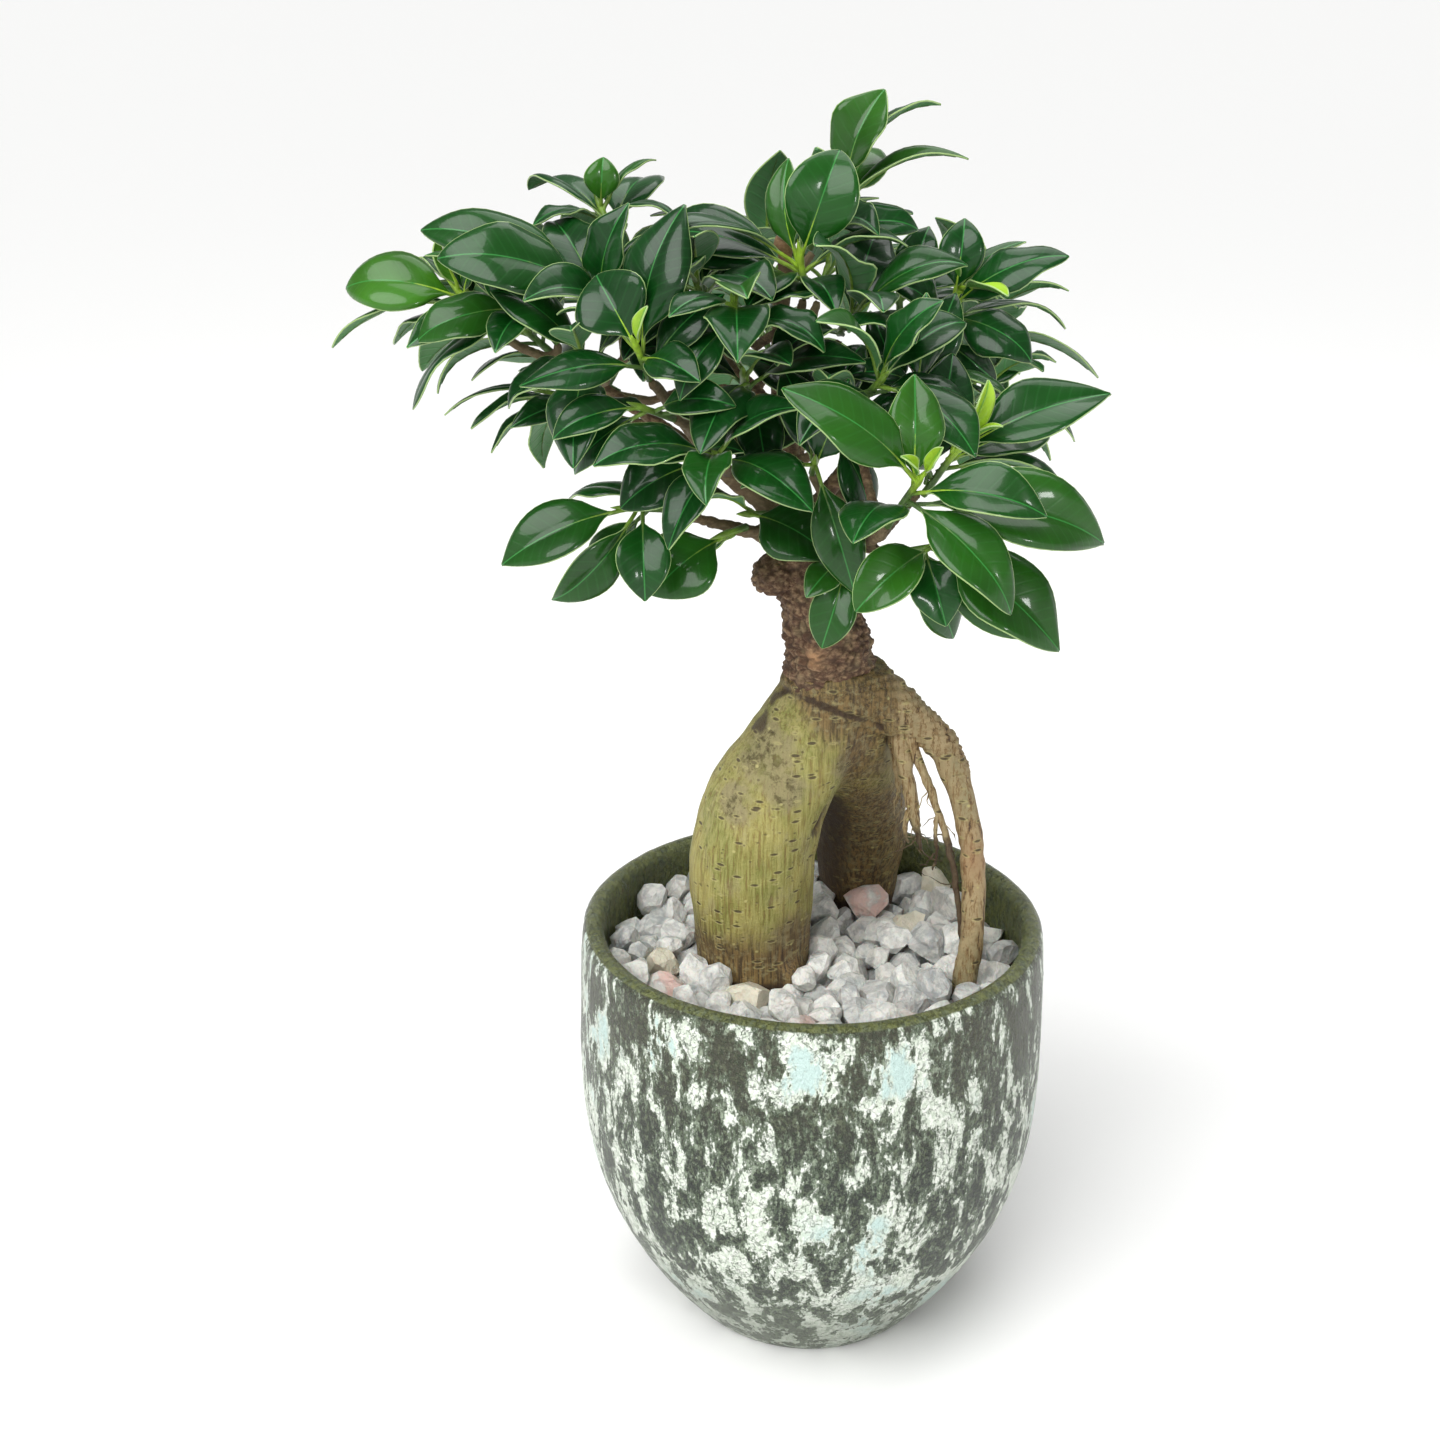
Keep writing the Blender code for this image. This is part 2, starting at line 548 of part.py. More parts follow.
def limb_paths():
    paths = {}
    for name, (points, radii) in LIMBS.items():
        steps = 2 if name == "trunk" else 1
        path = smooth_path([tree_point(point) for point in points], steps)
        paths[name] = (path, even_radii([radius * MM for radius in radii], steps))
    return paths


def twig_path(start, paths):
    """From the nearest limb point that isn't above the shoot, bending into the shoot's direction."""
    base, direction = start
    best = min(
        ((point - base).length + 2 * max(point.z - base.z + 0.004, 0), name, i)
        for name, (path, _) in paths.items()
        for i, point in enumerate(path[1:], 1)
        if name != "trunk" or i > 5
    )
    origin = paths[best[1]][0][best[2]]
    end = base - direction * TWIG_RADIUS
    bend = end - direction * (end - origin).length * TWIG_BEND
    points = []
    for step in range(TWIG_STEPS):
        t = step / (TWIG_STEPS - 1)
        points.append(origin * (1 - t) ** 2 + bend * 2 * t * (1 - t) + end * t**2)
    return [*points, base]


def make_scion(bark, starts):
    """The grafted wood: trunk, limbs and every twig that carries a shoot."""
    paths = limb_paths()
    trunk_path, trunk_radii = paths["trunk"]
    pieces = []
    for name, (path, radii) in paths.items():
        if name != "trunk":
            pieces.append(add_object(f"limb_{name}", tube(path, radii, 6), helper=True))
    for name, start in starts.items():
        path = twig_path(start, paths)
        if (path[0] - path[-1]).length < 0.002:
            continue
        radii = [TWIG_RADIUS * (1 + TWIG_FLARE * (1 - i / TWIG_STEPS)) for i in range(TWIG_STEPS + 1)]
        pieces.append(add_object(f"twig_{name}", tube(path, radii, 5), helper=True))
    pieces += knots("trunk_knot", TRUNK_KNOTS, tree_point)
    scion = add_object("scion_wood", tube(trunk_path, trunk_radii, 12), bark)
    boolean(scion, "Limbs and twigs", "UNION", collection=group("scion_pieces", pieces))
    cut_level(scion, GRAVEL_TOP + GRAFT_HEIGHT + GAP, -1)
    return scion


# Shoots and leaves


class Leaf:
    """A folded, arched blade on a short stalk, as rings of left, top, right and bottom points."""

    def __init__(self, root, tip, look, width, spare=0.0):
        self.spare = spare
        along = (tip - root).normalized()
        look = Vector(look)
        normal = look - along * look.dot(along)
        if normal.length < 0.2:
            normal = Vector((-along.z, 0.3, along.x))
            normal -= along * normal.dot(along)
        self.normal = normal.normalized()
        self.root, self.tip = root, tip
        self.length = (tip - root).length
        self.half = self.length * LEAF_WIDTH * width / 2
        self.bend = (root + tip) / 2 + self.normal * self.length * LEAF_ARCH * 2

    def at(self, t):
        place = self.root * (1 - t) ** 2 + self.bend * 2 * t * (1 - t) + self.tip * t**2
        along = ((self.bend - self.root) * (1 - t) + (self.tip - self.bend) * t).normalized()
        up = (self.normal - along * self.normal.dot(along)).normalized()
        return place, up, along.cross(up)

    def ring(self, t, half, fold, thick):
        place, up, left = self.at(t)
        rise = up * half * fold
        thick = up * (thick / 2 + self.spare)
        half += self.spare
        return [place - left * half + rise, place + thick, place + left * half + rise, place - thick]

    def mesh(self, blade_only=False):
        rings = []
        if not blade_only:
            for t in (0.0, PETIOLE_END):
                rings.append(self.ring(t, PETIOLE_WIDTH, 0.15, LEAF_THICKNESS * 1.2))
        for t, share in LEAF_STATIONS:
            rings.append(self.ring(t, self.half * share, LEAF_FOLD, LEAF_THICKNESS))
        rings.append([self.at(1)[0]])
        bm = bmesh.new()
        close_rings(bm, [[bm.verts.new(place) for place in ring] for ring in rings])
        return bm

    def tree(self, blade_only=False):
        bm = self.mesh(blade_only)
        made = BVHTree.FromBMesh(bm)
        bm.free()
        return made


def spiral_leaves(base, tip, count, length):
    """Leaves on the growth spiral: the youngest stand up along the shoot, the oldest spread."""
    axis = (tip - base).normalized()
    across = axis.orthogonal().normalized()
    leaves = []
    for i in range(count):
        share = i / (count - 1)
        opening = YOUNGEST_ANGLE + (OLDEST_ANGLE - YOUNGEST_ANGLE) * share
        turn = Matrix.Rotation(GOLDEN_ANGLE * i + base.x * SPIRAL_TURN, 3, axis)
        reach = length * MM * (0.8 + 0.2 * math.sin(math.pi * share))
        offset = (axis * math.cos(opening) + (turn @ across) * math.sin(opening)) * reach
        look = axis * 0.6 + Vector((0, 0, 0.8))
        leaves.append((offset, look, 1.0))
    return leaves


def hand_leaves(table):
    return [(Vector((x, y, z)) * MM * LEAF_SCALE, look, width) for x, y, z, look, width in table]


def placed_leaf(root, offset, look, width, blocked):
    """The leaf as asked or, where something is in its way, the nearest turn of it that is clear."""
    across = offset.orthogonal().normalized()
    for i in range(SEARCH_TRIES):
        tilt = Matrix.Rotation(SEARCH_STEP * math.sqrt(i), 3, across)
        turn = Matrix.Rotation(GOLDEN_ANGLE * i, 3, offset)
        reach = 1 - SEARCH_SHRINK * i
        tip = root + turn @ (tilt @ offset) * reach
        if not blocked(Leaf(root, tip, look, width, LEAF_CLEARANCE)):
            return Leaf(root, tip, look, width)
    return None


def shoot_stem(base, tip):
    """The green stem with its bud."""
    direction = (tip - base).normalized()
    shares = (0, 0.5, 1)
    path = [base + direction * GAP] + [base.lerp(tip, share) for share in shares[1:]]
    radii = [SHOOT_RADIUS, SHOOT_RADIUS * 0.95, SHOOT_RADIUS * 0.8]
    path += [tip + direction * BUD_LENGTH * 0.35, tip + direction * BUD_LENGTH]
    radii += [SHOOT_RADIUS * 0.95, 0]
    return tube(path, radii, 6, pointed=True)


def make_shoots(scion, plan, green):
    bpy.context.view_layer.update()
    graph = bpy.context.evaluated_depsgraph_get()
    wood = BVHTree.FromObject(scion, graph)
    stems = {}
    for name, (base, tip, _) in plan.items():
        bm = shoot_stem(base, tip)
        stems[name] = BVHTree.FromBMesh(bm)
        add_object(f"shoot_{name}", bm, green)
    placed = []
    for name, (base, tip, leaves) in plan.items():
        made, operands, grown = [], [], []
        spacing = min(LEAF_SPACING, ((tip - base).length - BUD_ROOM) / max(len(leaves) - 1, 1))
        for i, (offset, look, width) in enumerate(leaves):
            root = tip + (base - tip).normalized() * spacing * i

            def blocked(leaf):
                whole, blade = leaf.tree(), leaf.tree(blade_only=True)
                middle, reach = leaf.bend, leaf.length
                if whole.overlap(wood) or blade.overlap(stems[name]):
                    return True
                if any(whole.overlap(tree) for other, tree in stems.items() if other != name):
                    return True
                if any(blade.overlap(own_whole) or whole.overlap(own_blade) for own_whole, own_blade in made):
                    return True
                return any(
                    (middle - centre).length < (reach + size) * LEAF_REACH and whole.overlap(tree)
                    for centre, size, tree in placed
                )

            leaf = placed_leaf(root, tip + offset - root, look, width, blocked)
            if leaf is None:
                raise ValueError(f"no room for leaf {i + 1} of {name}")
            made.append((leaf.tree(), leaf.tree(blade_only=True)))
            operands.append(add_object(f"leaf_{name}_{i + 1}", leaf.mesh(), helper=True))
            grown.append((leaf.bend, leaf.length, leaf.tree()))
        placed += grown
        shoot = bpy.data.objects[f"shoot_{name}"]
        boolean(shoot, "Leaves", "UNION", collection=group(f"leaves_{name}", operands))


def shoot_plan():
    plan = {}
    for name, (base, tip, leaves) in SHOOTS.items():
        plan[name] = (tree_point(base), tree_point(tip), hand_leaves(leaves))
    for name, (base, tip, count, length) in SPIRAL_SHOOTS.items():
        base, tip = tree_point(base), tree_point(tip)
        plan[name] = (base, tip, spiral_leaves(base, tip, count, length * LEAF_SCALE))
    return plan


def main():
    for obj in list(bpy.data.objects):
        bpy.data.objects.remove(obj)
    make_pot(material("reactive_glaze", "5d6a5c", 0.35))
    rootstock = make_rootstock(material("ficus_root_bark", "8f8a55", 0.6))
    cutter = make_root_cutter(rootstock)
    soil = material("potting_soil", "3b2b20", 0.95)
    gravel = material("marble_chips", "dcdad4", 0.6)
    make_fill("potting_soil", POT_FLOOR + GAP, SOIL_TOP - GAP - SOIL_LUMP, SOIL_LUMP, cutter, soil)
    make_fill("gravel_bed", SOIL_TOP, GRAVEL_TOP, GRAVEL_LUMP, cutter, gravel)
    plan = shoot_plan()
    starts = {name: (base, (tip - base).normalized()) for name, (base, tip, _) in plan.items()}
    scion = make_scion(material("scion_bark", "5a4434", 0.85), starts)
    make_shoots(scion, plan, material("ficus_leaf", "1f5a26", 0.3))


main()
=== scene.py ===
"""A grafted ficus bonsai in a glazed pot topped with marble chips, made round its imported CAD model.

Metres, +Z up; the origin is the centre of the pot's foot and -Y is the tree's front.
"""

import math

import bmesh
import bpy
import numpy as np
from bpy.props import FloatProperty, FloatVectorProperty, IntProperty, PointerProperty
from mathutils import Matrix, Vector, noise
from mathutils.bvhtree import BVHTree


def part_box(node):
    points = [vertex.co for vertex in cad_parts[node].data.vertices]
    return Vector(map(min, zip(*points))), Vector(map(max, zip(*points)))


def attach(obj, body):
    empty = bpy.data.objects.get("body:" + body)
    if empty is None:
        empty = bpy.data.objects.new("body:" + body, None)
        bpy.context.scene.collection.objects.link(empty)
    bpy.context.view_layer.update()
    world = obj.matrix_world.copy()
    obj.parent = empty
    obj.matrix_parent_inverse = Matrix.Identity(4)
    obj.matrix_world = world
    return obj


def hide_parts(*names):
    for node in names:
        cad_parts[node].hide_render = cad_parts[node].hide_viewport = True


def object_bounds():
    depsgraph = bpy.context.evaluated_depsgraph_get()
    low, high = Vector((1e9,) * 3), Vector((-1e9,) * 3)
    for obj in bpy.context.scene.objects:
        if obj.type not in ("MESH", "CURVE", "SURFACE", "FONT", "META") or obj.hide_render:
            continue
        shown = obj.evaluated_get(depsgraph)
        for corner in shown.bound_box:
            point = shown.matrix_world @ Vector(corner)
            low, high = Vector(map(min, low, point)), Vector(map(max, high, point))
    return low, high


bl_info = {
    "name": "Potted Ficus Bonsai",
    "version": (1, 0, 0),
    "blender": (4, 5, 0),
    "location": "3D View > Sidebar > Bonsai",
    "description": "Builds the leaves, bark, glaze and stones of a potted ficus round its packed model",
    "category": "Add Mesh",
}

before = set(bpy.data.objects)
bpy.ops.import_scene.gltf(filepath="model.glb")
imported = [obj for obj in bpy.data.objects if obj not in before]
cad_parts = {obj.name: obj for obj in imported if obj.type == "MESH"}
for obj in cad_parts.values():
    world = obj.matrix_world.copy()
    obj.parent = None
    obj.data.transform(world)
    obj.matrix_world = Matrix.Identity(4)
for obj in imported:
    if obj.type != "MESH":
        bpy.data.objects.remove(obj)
CAD_LOW, CAD_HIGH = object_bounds()

MM = 0.001
CM = 0.01
BODY = "root"
SEED = 7
noise.seed_set(SEED)  # Without it, noise_vector follows the clock and no two runs are alike.
SMOOTH = {"interpolation_type": "SMOOTHSTEP"}  # For a range with soft ends.

# Leaves and shoots
SHOOTS = sorted(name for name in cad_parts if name.startswith("shoot_"))
LEAF_STATIONS = (0.26, 0.50, 0.79)  # Where the CAD leaves have their rings, from stalk to tip.
LEAF_SHARES = (0.62, 1.0, 0.74)  # The share of the half width there.
STALK_SHARE = 0.1  # The share of a leaf's length that is its bare stalk.
STALK_RADIUS = 0.00062
STALK_STATIONS = (0, 0.04, 0.08, 0.12, 0.17, 0.25, 0.36, 0.48, 0.6, 0.72, 0.84, 0.92)
STEM_RADIUS = 0.0011
STEM_STATIONS = (0, 0.3, 0.6, 0.85, 1)
BUD_LENGTH = 0.0085
BUD_GIRTHS = ((0.12, 0.85), (0.3, 1.0), (0.5, 0.86), (0.72, 0.55), (0.9, 0.25), (1.0, 0.06))
GROOVE_DEPTH = 0.00030
GROOVE_WIDTH = 0.00055
COLUMN_BUNCHING = 1.15  # Over 1, the columns of a blade crowd towards its midrib.
ROW_BUNCHING = 0.55  # From 0 to 1, how far the rows crowd towards the two ends.
VEIN_SPACING = 0.34  # In centimetres, as a blade's own map is.
VEIN_SWEEP = 0.75
# New leaves by shoot: where each tip is from the bud's point and its half width, in millimetres.
NEW_LEAVES = {
    "shoot_right": (((9, -22, -3), 3.2), ((-5, -5, 5), 1.7)),
    "shoot_front_mid": (((5, -3, 15), 3.0), ((8, -6, 5), 1.6)),
    "shoot_front_right": (((-6, -5, 5), 1.7), ((3, -6, 7), 1.9)),
    "shoot_left_far": (((-2, -4, 13), 3.4),),
    "shoot_top": (((3, -3, 7), 1.5),),
    "shoot_centre_left": (((4, -4, 8), 1.7),),
}
NEW_TONE = 2.0  # The youth of a leaf that is still unrolling, which has its bud's colour.
NEW_FOLD = 0.7
YOUNG_TONE = 0.45
YOUNG_TIPS = (
    (-0.132, 0.010, 0.320), (0.083, -0.030, 0.300), (0.045, -0.025, 0.320), (-0.100, 0.008, 0.328),
)
OLD_BUD_TONE = 0.35  # How bright a resting bud is, of a growing one.
CROWN_CENTRE = Vector((-0.020, 0.005, 0.300))
CROWN_REACH = Vector((0.105, 0.085, 0.055))
PAINTED_SHADE_SHARE = 0.85  # The inner share of the crown whose leaves get painted shade, darkest at its centre.

# Pot
_, POT_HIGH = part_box("ceramic_pot")
POT_BASE = 0.0015  # How far the underside is hollowed above the foot ring.
FOOT_RING = 0.0055
FOOT_HEIGHT = 0.0018
LIP_STEPS = 9
LIP_HEIGHT = 0.0036
INNER_FLOOR = 0.010
INNER_FOOT = 0.016  # Where the inner wall starts to round into its floor.
GLAZE_BIAS = -0.33  # Moves the balance of the two glazes; higher gives more of the pale one.
GLAZE_TEAR = 0.022  # How far the borders of the thick patches are torn.
# Where thick pale glaze lies: its centre and half sizes sideways and upwards.
AQUA_PATCHES = (
    ((-0.004, -0.070, 0.1195), (0.0085, 0.0095)),
    ((0.0200, -0.067, 0.1190), (0.0095, 0.0110)),
    ((-0.0455, -0.0535, 0.118), (0.0040, 0.0120)),
    ((0.052, 0.046, 0.112), (0.0100, 0.0120)),
    ((-0.050, 0.049, 0.115), (0.0080, 0.0100)),
    ((0.0, 0.070, 0.108), (0.0085, 0.0130)),
)

# Marble chips
_, GRAVEL_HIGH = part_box("gravel_bed")
SETTLE_STEPS = 260
CALM_STEPS = 60  # The last steps, when the chips only push each other apart.
SINKING = 0.0005  # How far the chips sink in the first step; it is less in each later one.
PUSH = 0.36  # The share of an overlap that each of two chips gives way by.
STONE_TILT = 0.5
STONE_SHAPES = 36
STONE_CUTS = 11
STONE_SPREAD = 1.08  # A chip's reach over its settled sphere's radius, so that neighbours touch.
BED_FLOOR = 0.0995
BED_DEPTH = 0.030
HIGHEST_STONE = 0.1275  # Chips that reach higher are left out.
CREAM_SHARE = 0.07
PINK_SPOTS = (
    (0.0195, 0.0300, 0.119), (-0.0440, -0.0200, 0.119), (-0.0060, -0.0500, 0.119), (0.030, -0.042, 0.119),
)

# Wood: places and radii of its features in millimetres from the centre of the pot's foot.
TREE_GROUND = GRAVEL_HIGH.z - 0.001
# The darkening region holds painted shade on the swollen roots; on the trunk it darkens the bark's cracks and
# on the rootlets their lower parts.
BARK_REGIONS = ("brown", "prop", "dry", "darkening", "worn")
FOLD_TOP, FOLD_SLOPE = 0.2085, 0.46  # The neck's fold runs down to the right across the front.
NECK_FOLD = (
    (-14, 2, 209), (-10, -4, 208), (-1, -13, 207), (10, -12, 202), (18, -8, 198), (24, 1, 192), (24, 9, 189),
)
LOBE_CREASE = ((1, -11, 167), (4, -9, 172), (9, -4, 178), (14, -3, 186), (16, -5, 193))
FOOT_CREASE = ((1, -11, 167), (0, -13, 160), (-1, -14, 150))
DRY_PATCHES = (
    ((-16, -13, 192), 9), ((-9, -19, 182), 6), ((-24, -16, 178), 6), ((-6, -17, 131), 8), ((12, -9, 188), 8),
)
# Spots of painted shade, most of them where the creases end: centres and radii.
SHADE_SPOTS = (((-16, -5, 198), 4.5), ((-11, -4, 206), 4), ((1, -12, 166), 3), ((24, 0, 191), 4))
WARTS = (
    ((18, -9, 208), 2.4, 1.2), ((-7, -18, 121), 4.0, 1.4), ((9, -12, 206), 3.0, 0.7),
    ((41, -12, 186), 1.4, 0.5),
)
SCARS = (((-1.4, -12, 220), 2.6), ((-10, -3, 334), 4.0), ((46, -17, 159), 7.0))
SWIRL = (9.6, -12, 220.6)
RING_SPACING = 0.0019  # The neck's level wrinkles.
TRUNK_RING_SPACING = 0.0036
SWIRL_SPACING = 0.0031
# The hanging rootlets: points (x, y, z) and radii.
ROOTLETS = (
    (((24, -4, 197), 2.8), ((25.5, -6, 187), 2.5), ((27.5, -7.5, 177), 2.3), ((29, -8, 169), 1.7),
     ((30.5, -8, 163), 1.0), ((31.5, -8.5, 158), 0.4)),
    (((27, -6, 194), 1.9), ((31, -8, 184), 1.5), ((35, -10, 174), 1.2), ((39, -11, 161), 1.05),
     ((42, -14, 147), 0.95), ((43.6, -17, 133), 0.95), ((44, -19, 121), 0.85), ((43, -20, 111), 0.6)),
    (((22, -1, 193), 1.7), ((24, 0, 183), 1.3), ((25, 0, 174), 0.9), ((24.5, 1, 168), 0.4)),
    (((28, -7.5, 172), 1.0), ((26.5, -9, 166), 0.8), ((27.5, -9, 161), 0.35)),
    (((36, -10, 172), 0.8), ((35, -11, 165), 0.7), ((36, -10, 158), 0.5), ((35, -9, 152), 0.25)),
)
HAIR_STARTS = (
    (27, -7, 178), (29, -8, 168), (30, -8, 163), (33, -9, 178), (36, -10, 170), (38, -11, 163),
    (41, -13, 150), (25, 0, 175), (27, -9, 163), (35, -10, 158),
)
HAIRS_EACH = 2
HAIR_RADIUS = 0.00024
SCION_STUB = 0.005  # How far the grafted stem runs on down inside the neck.

# Studio
FLOOR_REACH = 15
# Where the surround fades from its horizon, as the height of the direction looked in.
GLOW_LOW, GLOW_HIGH = 0.10, 0.29
KEY_ANGLE = 55  # Degrees of sky that the broad light takes up.
KEY_WAY = Vector((0.62, 0.75, -1.05))
TOP_PLACE, TOP_SIZE = (0.15, 0.30, 1.1), 0.8
SIDE_PLACE, SIDE_SIZE = (0.55, -0.95, 0.55), 0.16
CAMERA_PLACE = (-0.028, -0.55, 0.4175)
CAMERA_TILT = 68.1
CAMERA_LENS = 50.65


# Settings


def srgb(code):
    """A hex colour as the linear colour that shaders take."""
    channels = [int(code[i : i + 2], 16) / 255 for i in (0, 2, 4)]
    linear = [c / 12.92 if c <= 0.04045 else ((c + 0.055) / 1.055) ** 2.4 for c in channels]
    return (*linear, 1.0)


def colour(what, code):
    """A colour setting whose default is a hex colour."""
    text = f"Colour of the {what}"
    return FloatVectorProperty(
        name=what.capitalize(), description=text, subtype="COLOR", size=4, min=0, max=1, default=srgb(code)
    )


def length(name, description, metres):
    return FloatProperty(name=name, description=description, default=metres, unit="LENGTH", precision=5)


class LeafSettings(bpy.types.PropertyGroup):
    upper: colour("upper face of a grown leaf", "073c0d")
    # Painted shade: the colour that the leaves deep in the crown are darkened towards.
    shaded: colour("dark leaves inside the crown", "04240b")
    young: colour("upper face of a young leaf", "4c8a1c")
    under: colour("dull underside", "4b7a4a")
    vein: colour("midrib seen from above", "3a8f42")
    margin: colour("thin clear margin", "a3bf7c")
    stem: colour("green stems and leaf stalks", "4f7030")
    bud: colour("pointed sheath on a growing tip", "9cc234")
    thickness: length("Blade thickness", "Thickness of a leaf blade", 0.00042)
    fold: FloatProperty(name="Fold", description="How far the margins rise, of half width", default=0.24)
    pillow: FloatProperty(name="Pillow", description="How far each half bulges, of half width", default=0.06)
    rows: IntProperty(name="Rows", description="Faces along a blade", default=18, min=6)
    columns: IntProperty(name="Columns", description="Faces across a blade, an even count", default=10, min=4)


class PotSettings(bpy.types.PropertyGroup):
    ground: colour("dark ground glaze", "272e26")
    ground_light: colour("ground glaze where it is thin", "59634c")
    halo: colour("glazes where they melt together", "77886f")
    pale: colour("pale glaze", "cfdac8")
    crackle: colour("brightest flecks in the pale glaze", "f0f4ea")
    spray: colour("fine flecks of pale glaze in the dark one", "9fac96")
    worn: colour("dark glaze near the rim", "4d4a32")
    aqua: colour("pale glaze where it lies thick", "c4dcd6")
    inside: colour("lip and the inside", "6c7242")
    relief: length("Glaze relief", "How far the surface departs from a true turned shape", 0.00030)
    sides: IntProperty(name="Sides", description="Faces round the pot", default=200, min=32)
    stations: IntProperty(name="Stations", description="Rings up each wall", default=70, min=12)


class FillSettings(bpy.types.PropertyGroup):
    marble: colour("white marble", "e8e7e0")
    grey_marble: colour("grey veins and the greyer chips", "a3a5a4")
    pink_marble: colour("odd pink chip", "dcb9ae")
    cream_marble: colour("odd cream chip", "ddd3b4")
    soil: colour("crumbs of damp potting soil", "2a2019")
    # Painted shade: the near-black that the soil goes to in the low places between its crumbs.
    soil_gap_shade: colour("soil between its crumbs", "0d0d0d")
    stones: IntProperty(name="Stones", description="Number of marble chips", default=450, min=10)
    small: length("Smallest chip", "Radius of the smallest chip", 0.0032)
    large: length("Largest chip", "Radius of the largest chip", 0.0062)


class WoodSettings(bpy.types.PropertyGroup):
    skin: colour("smooth olive skin of the swollen roots", "978e48")
    skin_pale: colour("skin's raised fibres and the lips of its pores", "bdb476")
    skin_green: colour("skin where it is greenest", "72762c")
    skin_dry: colour("grey, dried patches of skin", "8e8460")
    brown: colour("brown bark low down, behind and on the neck", "7c6038")
    # In the roots' creases and under their arch this colour is painted shade.
    dark_bark_and_shade: colour("darkest bark and the creases", "3a291b")
    prop: colour("thin woody root", "a3906a")
    prop_warm: colour("woody root where its bark has rubbed off", "9c7350")
    bark: colour("rough bark of the grafted trunk", "553a29")
    bark_pale: colour("raised flakes of that bark", "967a5c")
    twig: colour("skin of the thin twigs", "6f6246")
    cut: colour("scars and the ends of cut wood", "b58a62")
    root_voxel: length("Root face size", "Size of the faces of the roots' skin", 0.00072)
    wood_voxel: length("Wood face size", "Size of the faces of the trunk's and limbs' bark", 0.00056)


class StageSettings(bpy.types.PropertyGroup):
    floor: colour("studio floor", "fafaf9")
    world: FloatProperty(name="Surround", description="Brightness of the even light from above", default=0.22)
    horizon: FloatProperty(name="Horizon", description="Brightness of the world near the floor", default=0.92)
    key: FloatProperty(name="Key", description="Strength of the broad, far light", default=3.3)
    top: FloatProperty(name="Top", description="Power of the light over the tree", default=5.0, unit="POWER")
    fill: FloatProperty(name="Fill", description="Power of the side light", default=2.4, unit="POWER")


# Shared mesh tools


def mesh_object(name, bm, materials, smooth=True):
    """An object at the origin from a bmesh, in the scene."""
    mesh = bpy.data.meshes.new(name)
    bm.to_mesh(mesh)
    bm.free()
    for material in materials:
        mesh.materials.append(material)
    if smooth:
        mesh.shade_smooth()
    obj = bpy.data.objects.new(name, mesh)
    bpy.context.scene.collection.objects.link(obj)
    return obj


def finish_piece(obj, slot, *nodes):
    """Seat a finished piece on the frame, standing for CAD nodes, which it hides. The slot is not used."""
    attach(obj, BODY)
    if nodes:
        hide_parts(*nodes)


def merged(node):
    """A bmesh copy of a CAD node with its loose triangles merged."""
    bm = bmesh.new()
    bm.from_mesh(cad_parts[node].data)
    bmesh.ops.remove_doubles(bm, verts=bm.verts, dist=2e-6)
    return bm


def draw_tubes(name, routes, sides):
    """A bmesh of capped tubes, each route a list of (point, radius)."""
    curve = bpy.data.curves.new(name, "CURVE")
    curve.dimensions = "3D"
    curve.bevel_depth = 1.0
    curve.bevel_resolution = max(sides // 2 - 2, 0)
    curve.use_fill_caps = True
    for route in routes:
        spline = curve.splines.new("POLY")
        spline.points.add(len(route) - 1)
        for point, (place, radius) in zip(spline.points, route):
            point.co = (*place, 1.0)
            point.radius = radius
    holder = bpy.data.objects.new(name, curve)
    bpy.context.scene.collection.objects.link(holder)
    bpy.context.view_layer.update()
    shape = holder.evaluated_get(bpy.context.evaluated_depsgraph_get()).to_mesh()
    bm = bmesh.new()
    bm.from_mesh(shape)
    bpy.data.objects.remove(holder)
    bpy.data.curves.remove(curve)
    bmesh.ops.remove_doubles(bm, verts=bm.verts, dist=1e-6)
    return bm


def even_skin(name, rough, voxel, softening):
    """A bmesh of small even faces over rough geometry, softened."""
    mesh = bpy.data.meshes.new(name)
    rough.to_mesh(mesh)
    rough.free()
    obj = bpy.data.objects.new(name, mesh)
    bpy.context.scene.collection.objects.link(obj)
    remesh = obj.modifiers.new("Even faces", "REMESH")
    remesh.mode = "VOXEL"
    remesh.voxel_size = voxel
    smooth = obj.modifiers.new("Soften", "SMOOTH")
    smooth.factor = 0.5
    smooth.iterations = softening
    bpy.context.view_layer.update()
    bm = bmesh.new()
    bm.from_object(obj, bpy.context.evaluated_depsgraph_get())
    bpy.data.objects.remove(obj)
    bpy.data.meshes.remove(mesh)
    bm.normal_update()
    return bm


def bell(distance, width):
    return math.exp(-((distance / width) ** 2))


def ramp(value, low, high):
    """0 under low, 1 over high and smooth between; high may be the lower."""
    share = min(max((value - low) / (high - low), 0), 1)
    return share * share * (3 - 2 * share)


# Shared shader tools


def plug(tree, socket, value):
    """Link an output to a socket or set the socket's own value; None leaves it as it is."""
    if isinstance(value, bpy.types.NodeSocket):
        tree.links.new(value, socket)
    elif value is not None:
        socket.default_value = value


def add_node(tree, kind, *inputs, output=None, **settings):
    """Add a shader node with its settings and, in order, its inputs' values or links. Gives an output."""
    node = tree.nodes.new("ShaderNode" + kind)
    for name, value in settings.items():
        setattr(node, name, value)
    for socket, value in zip([socket for socket in node.inputs if socket.enabled], inputs):
        plug(tree, socket, value)
    return node.outputs[output] if output else next(socket for socket in node.outputs if socket.enabled)


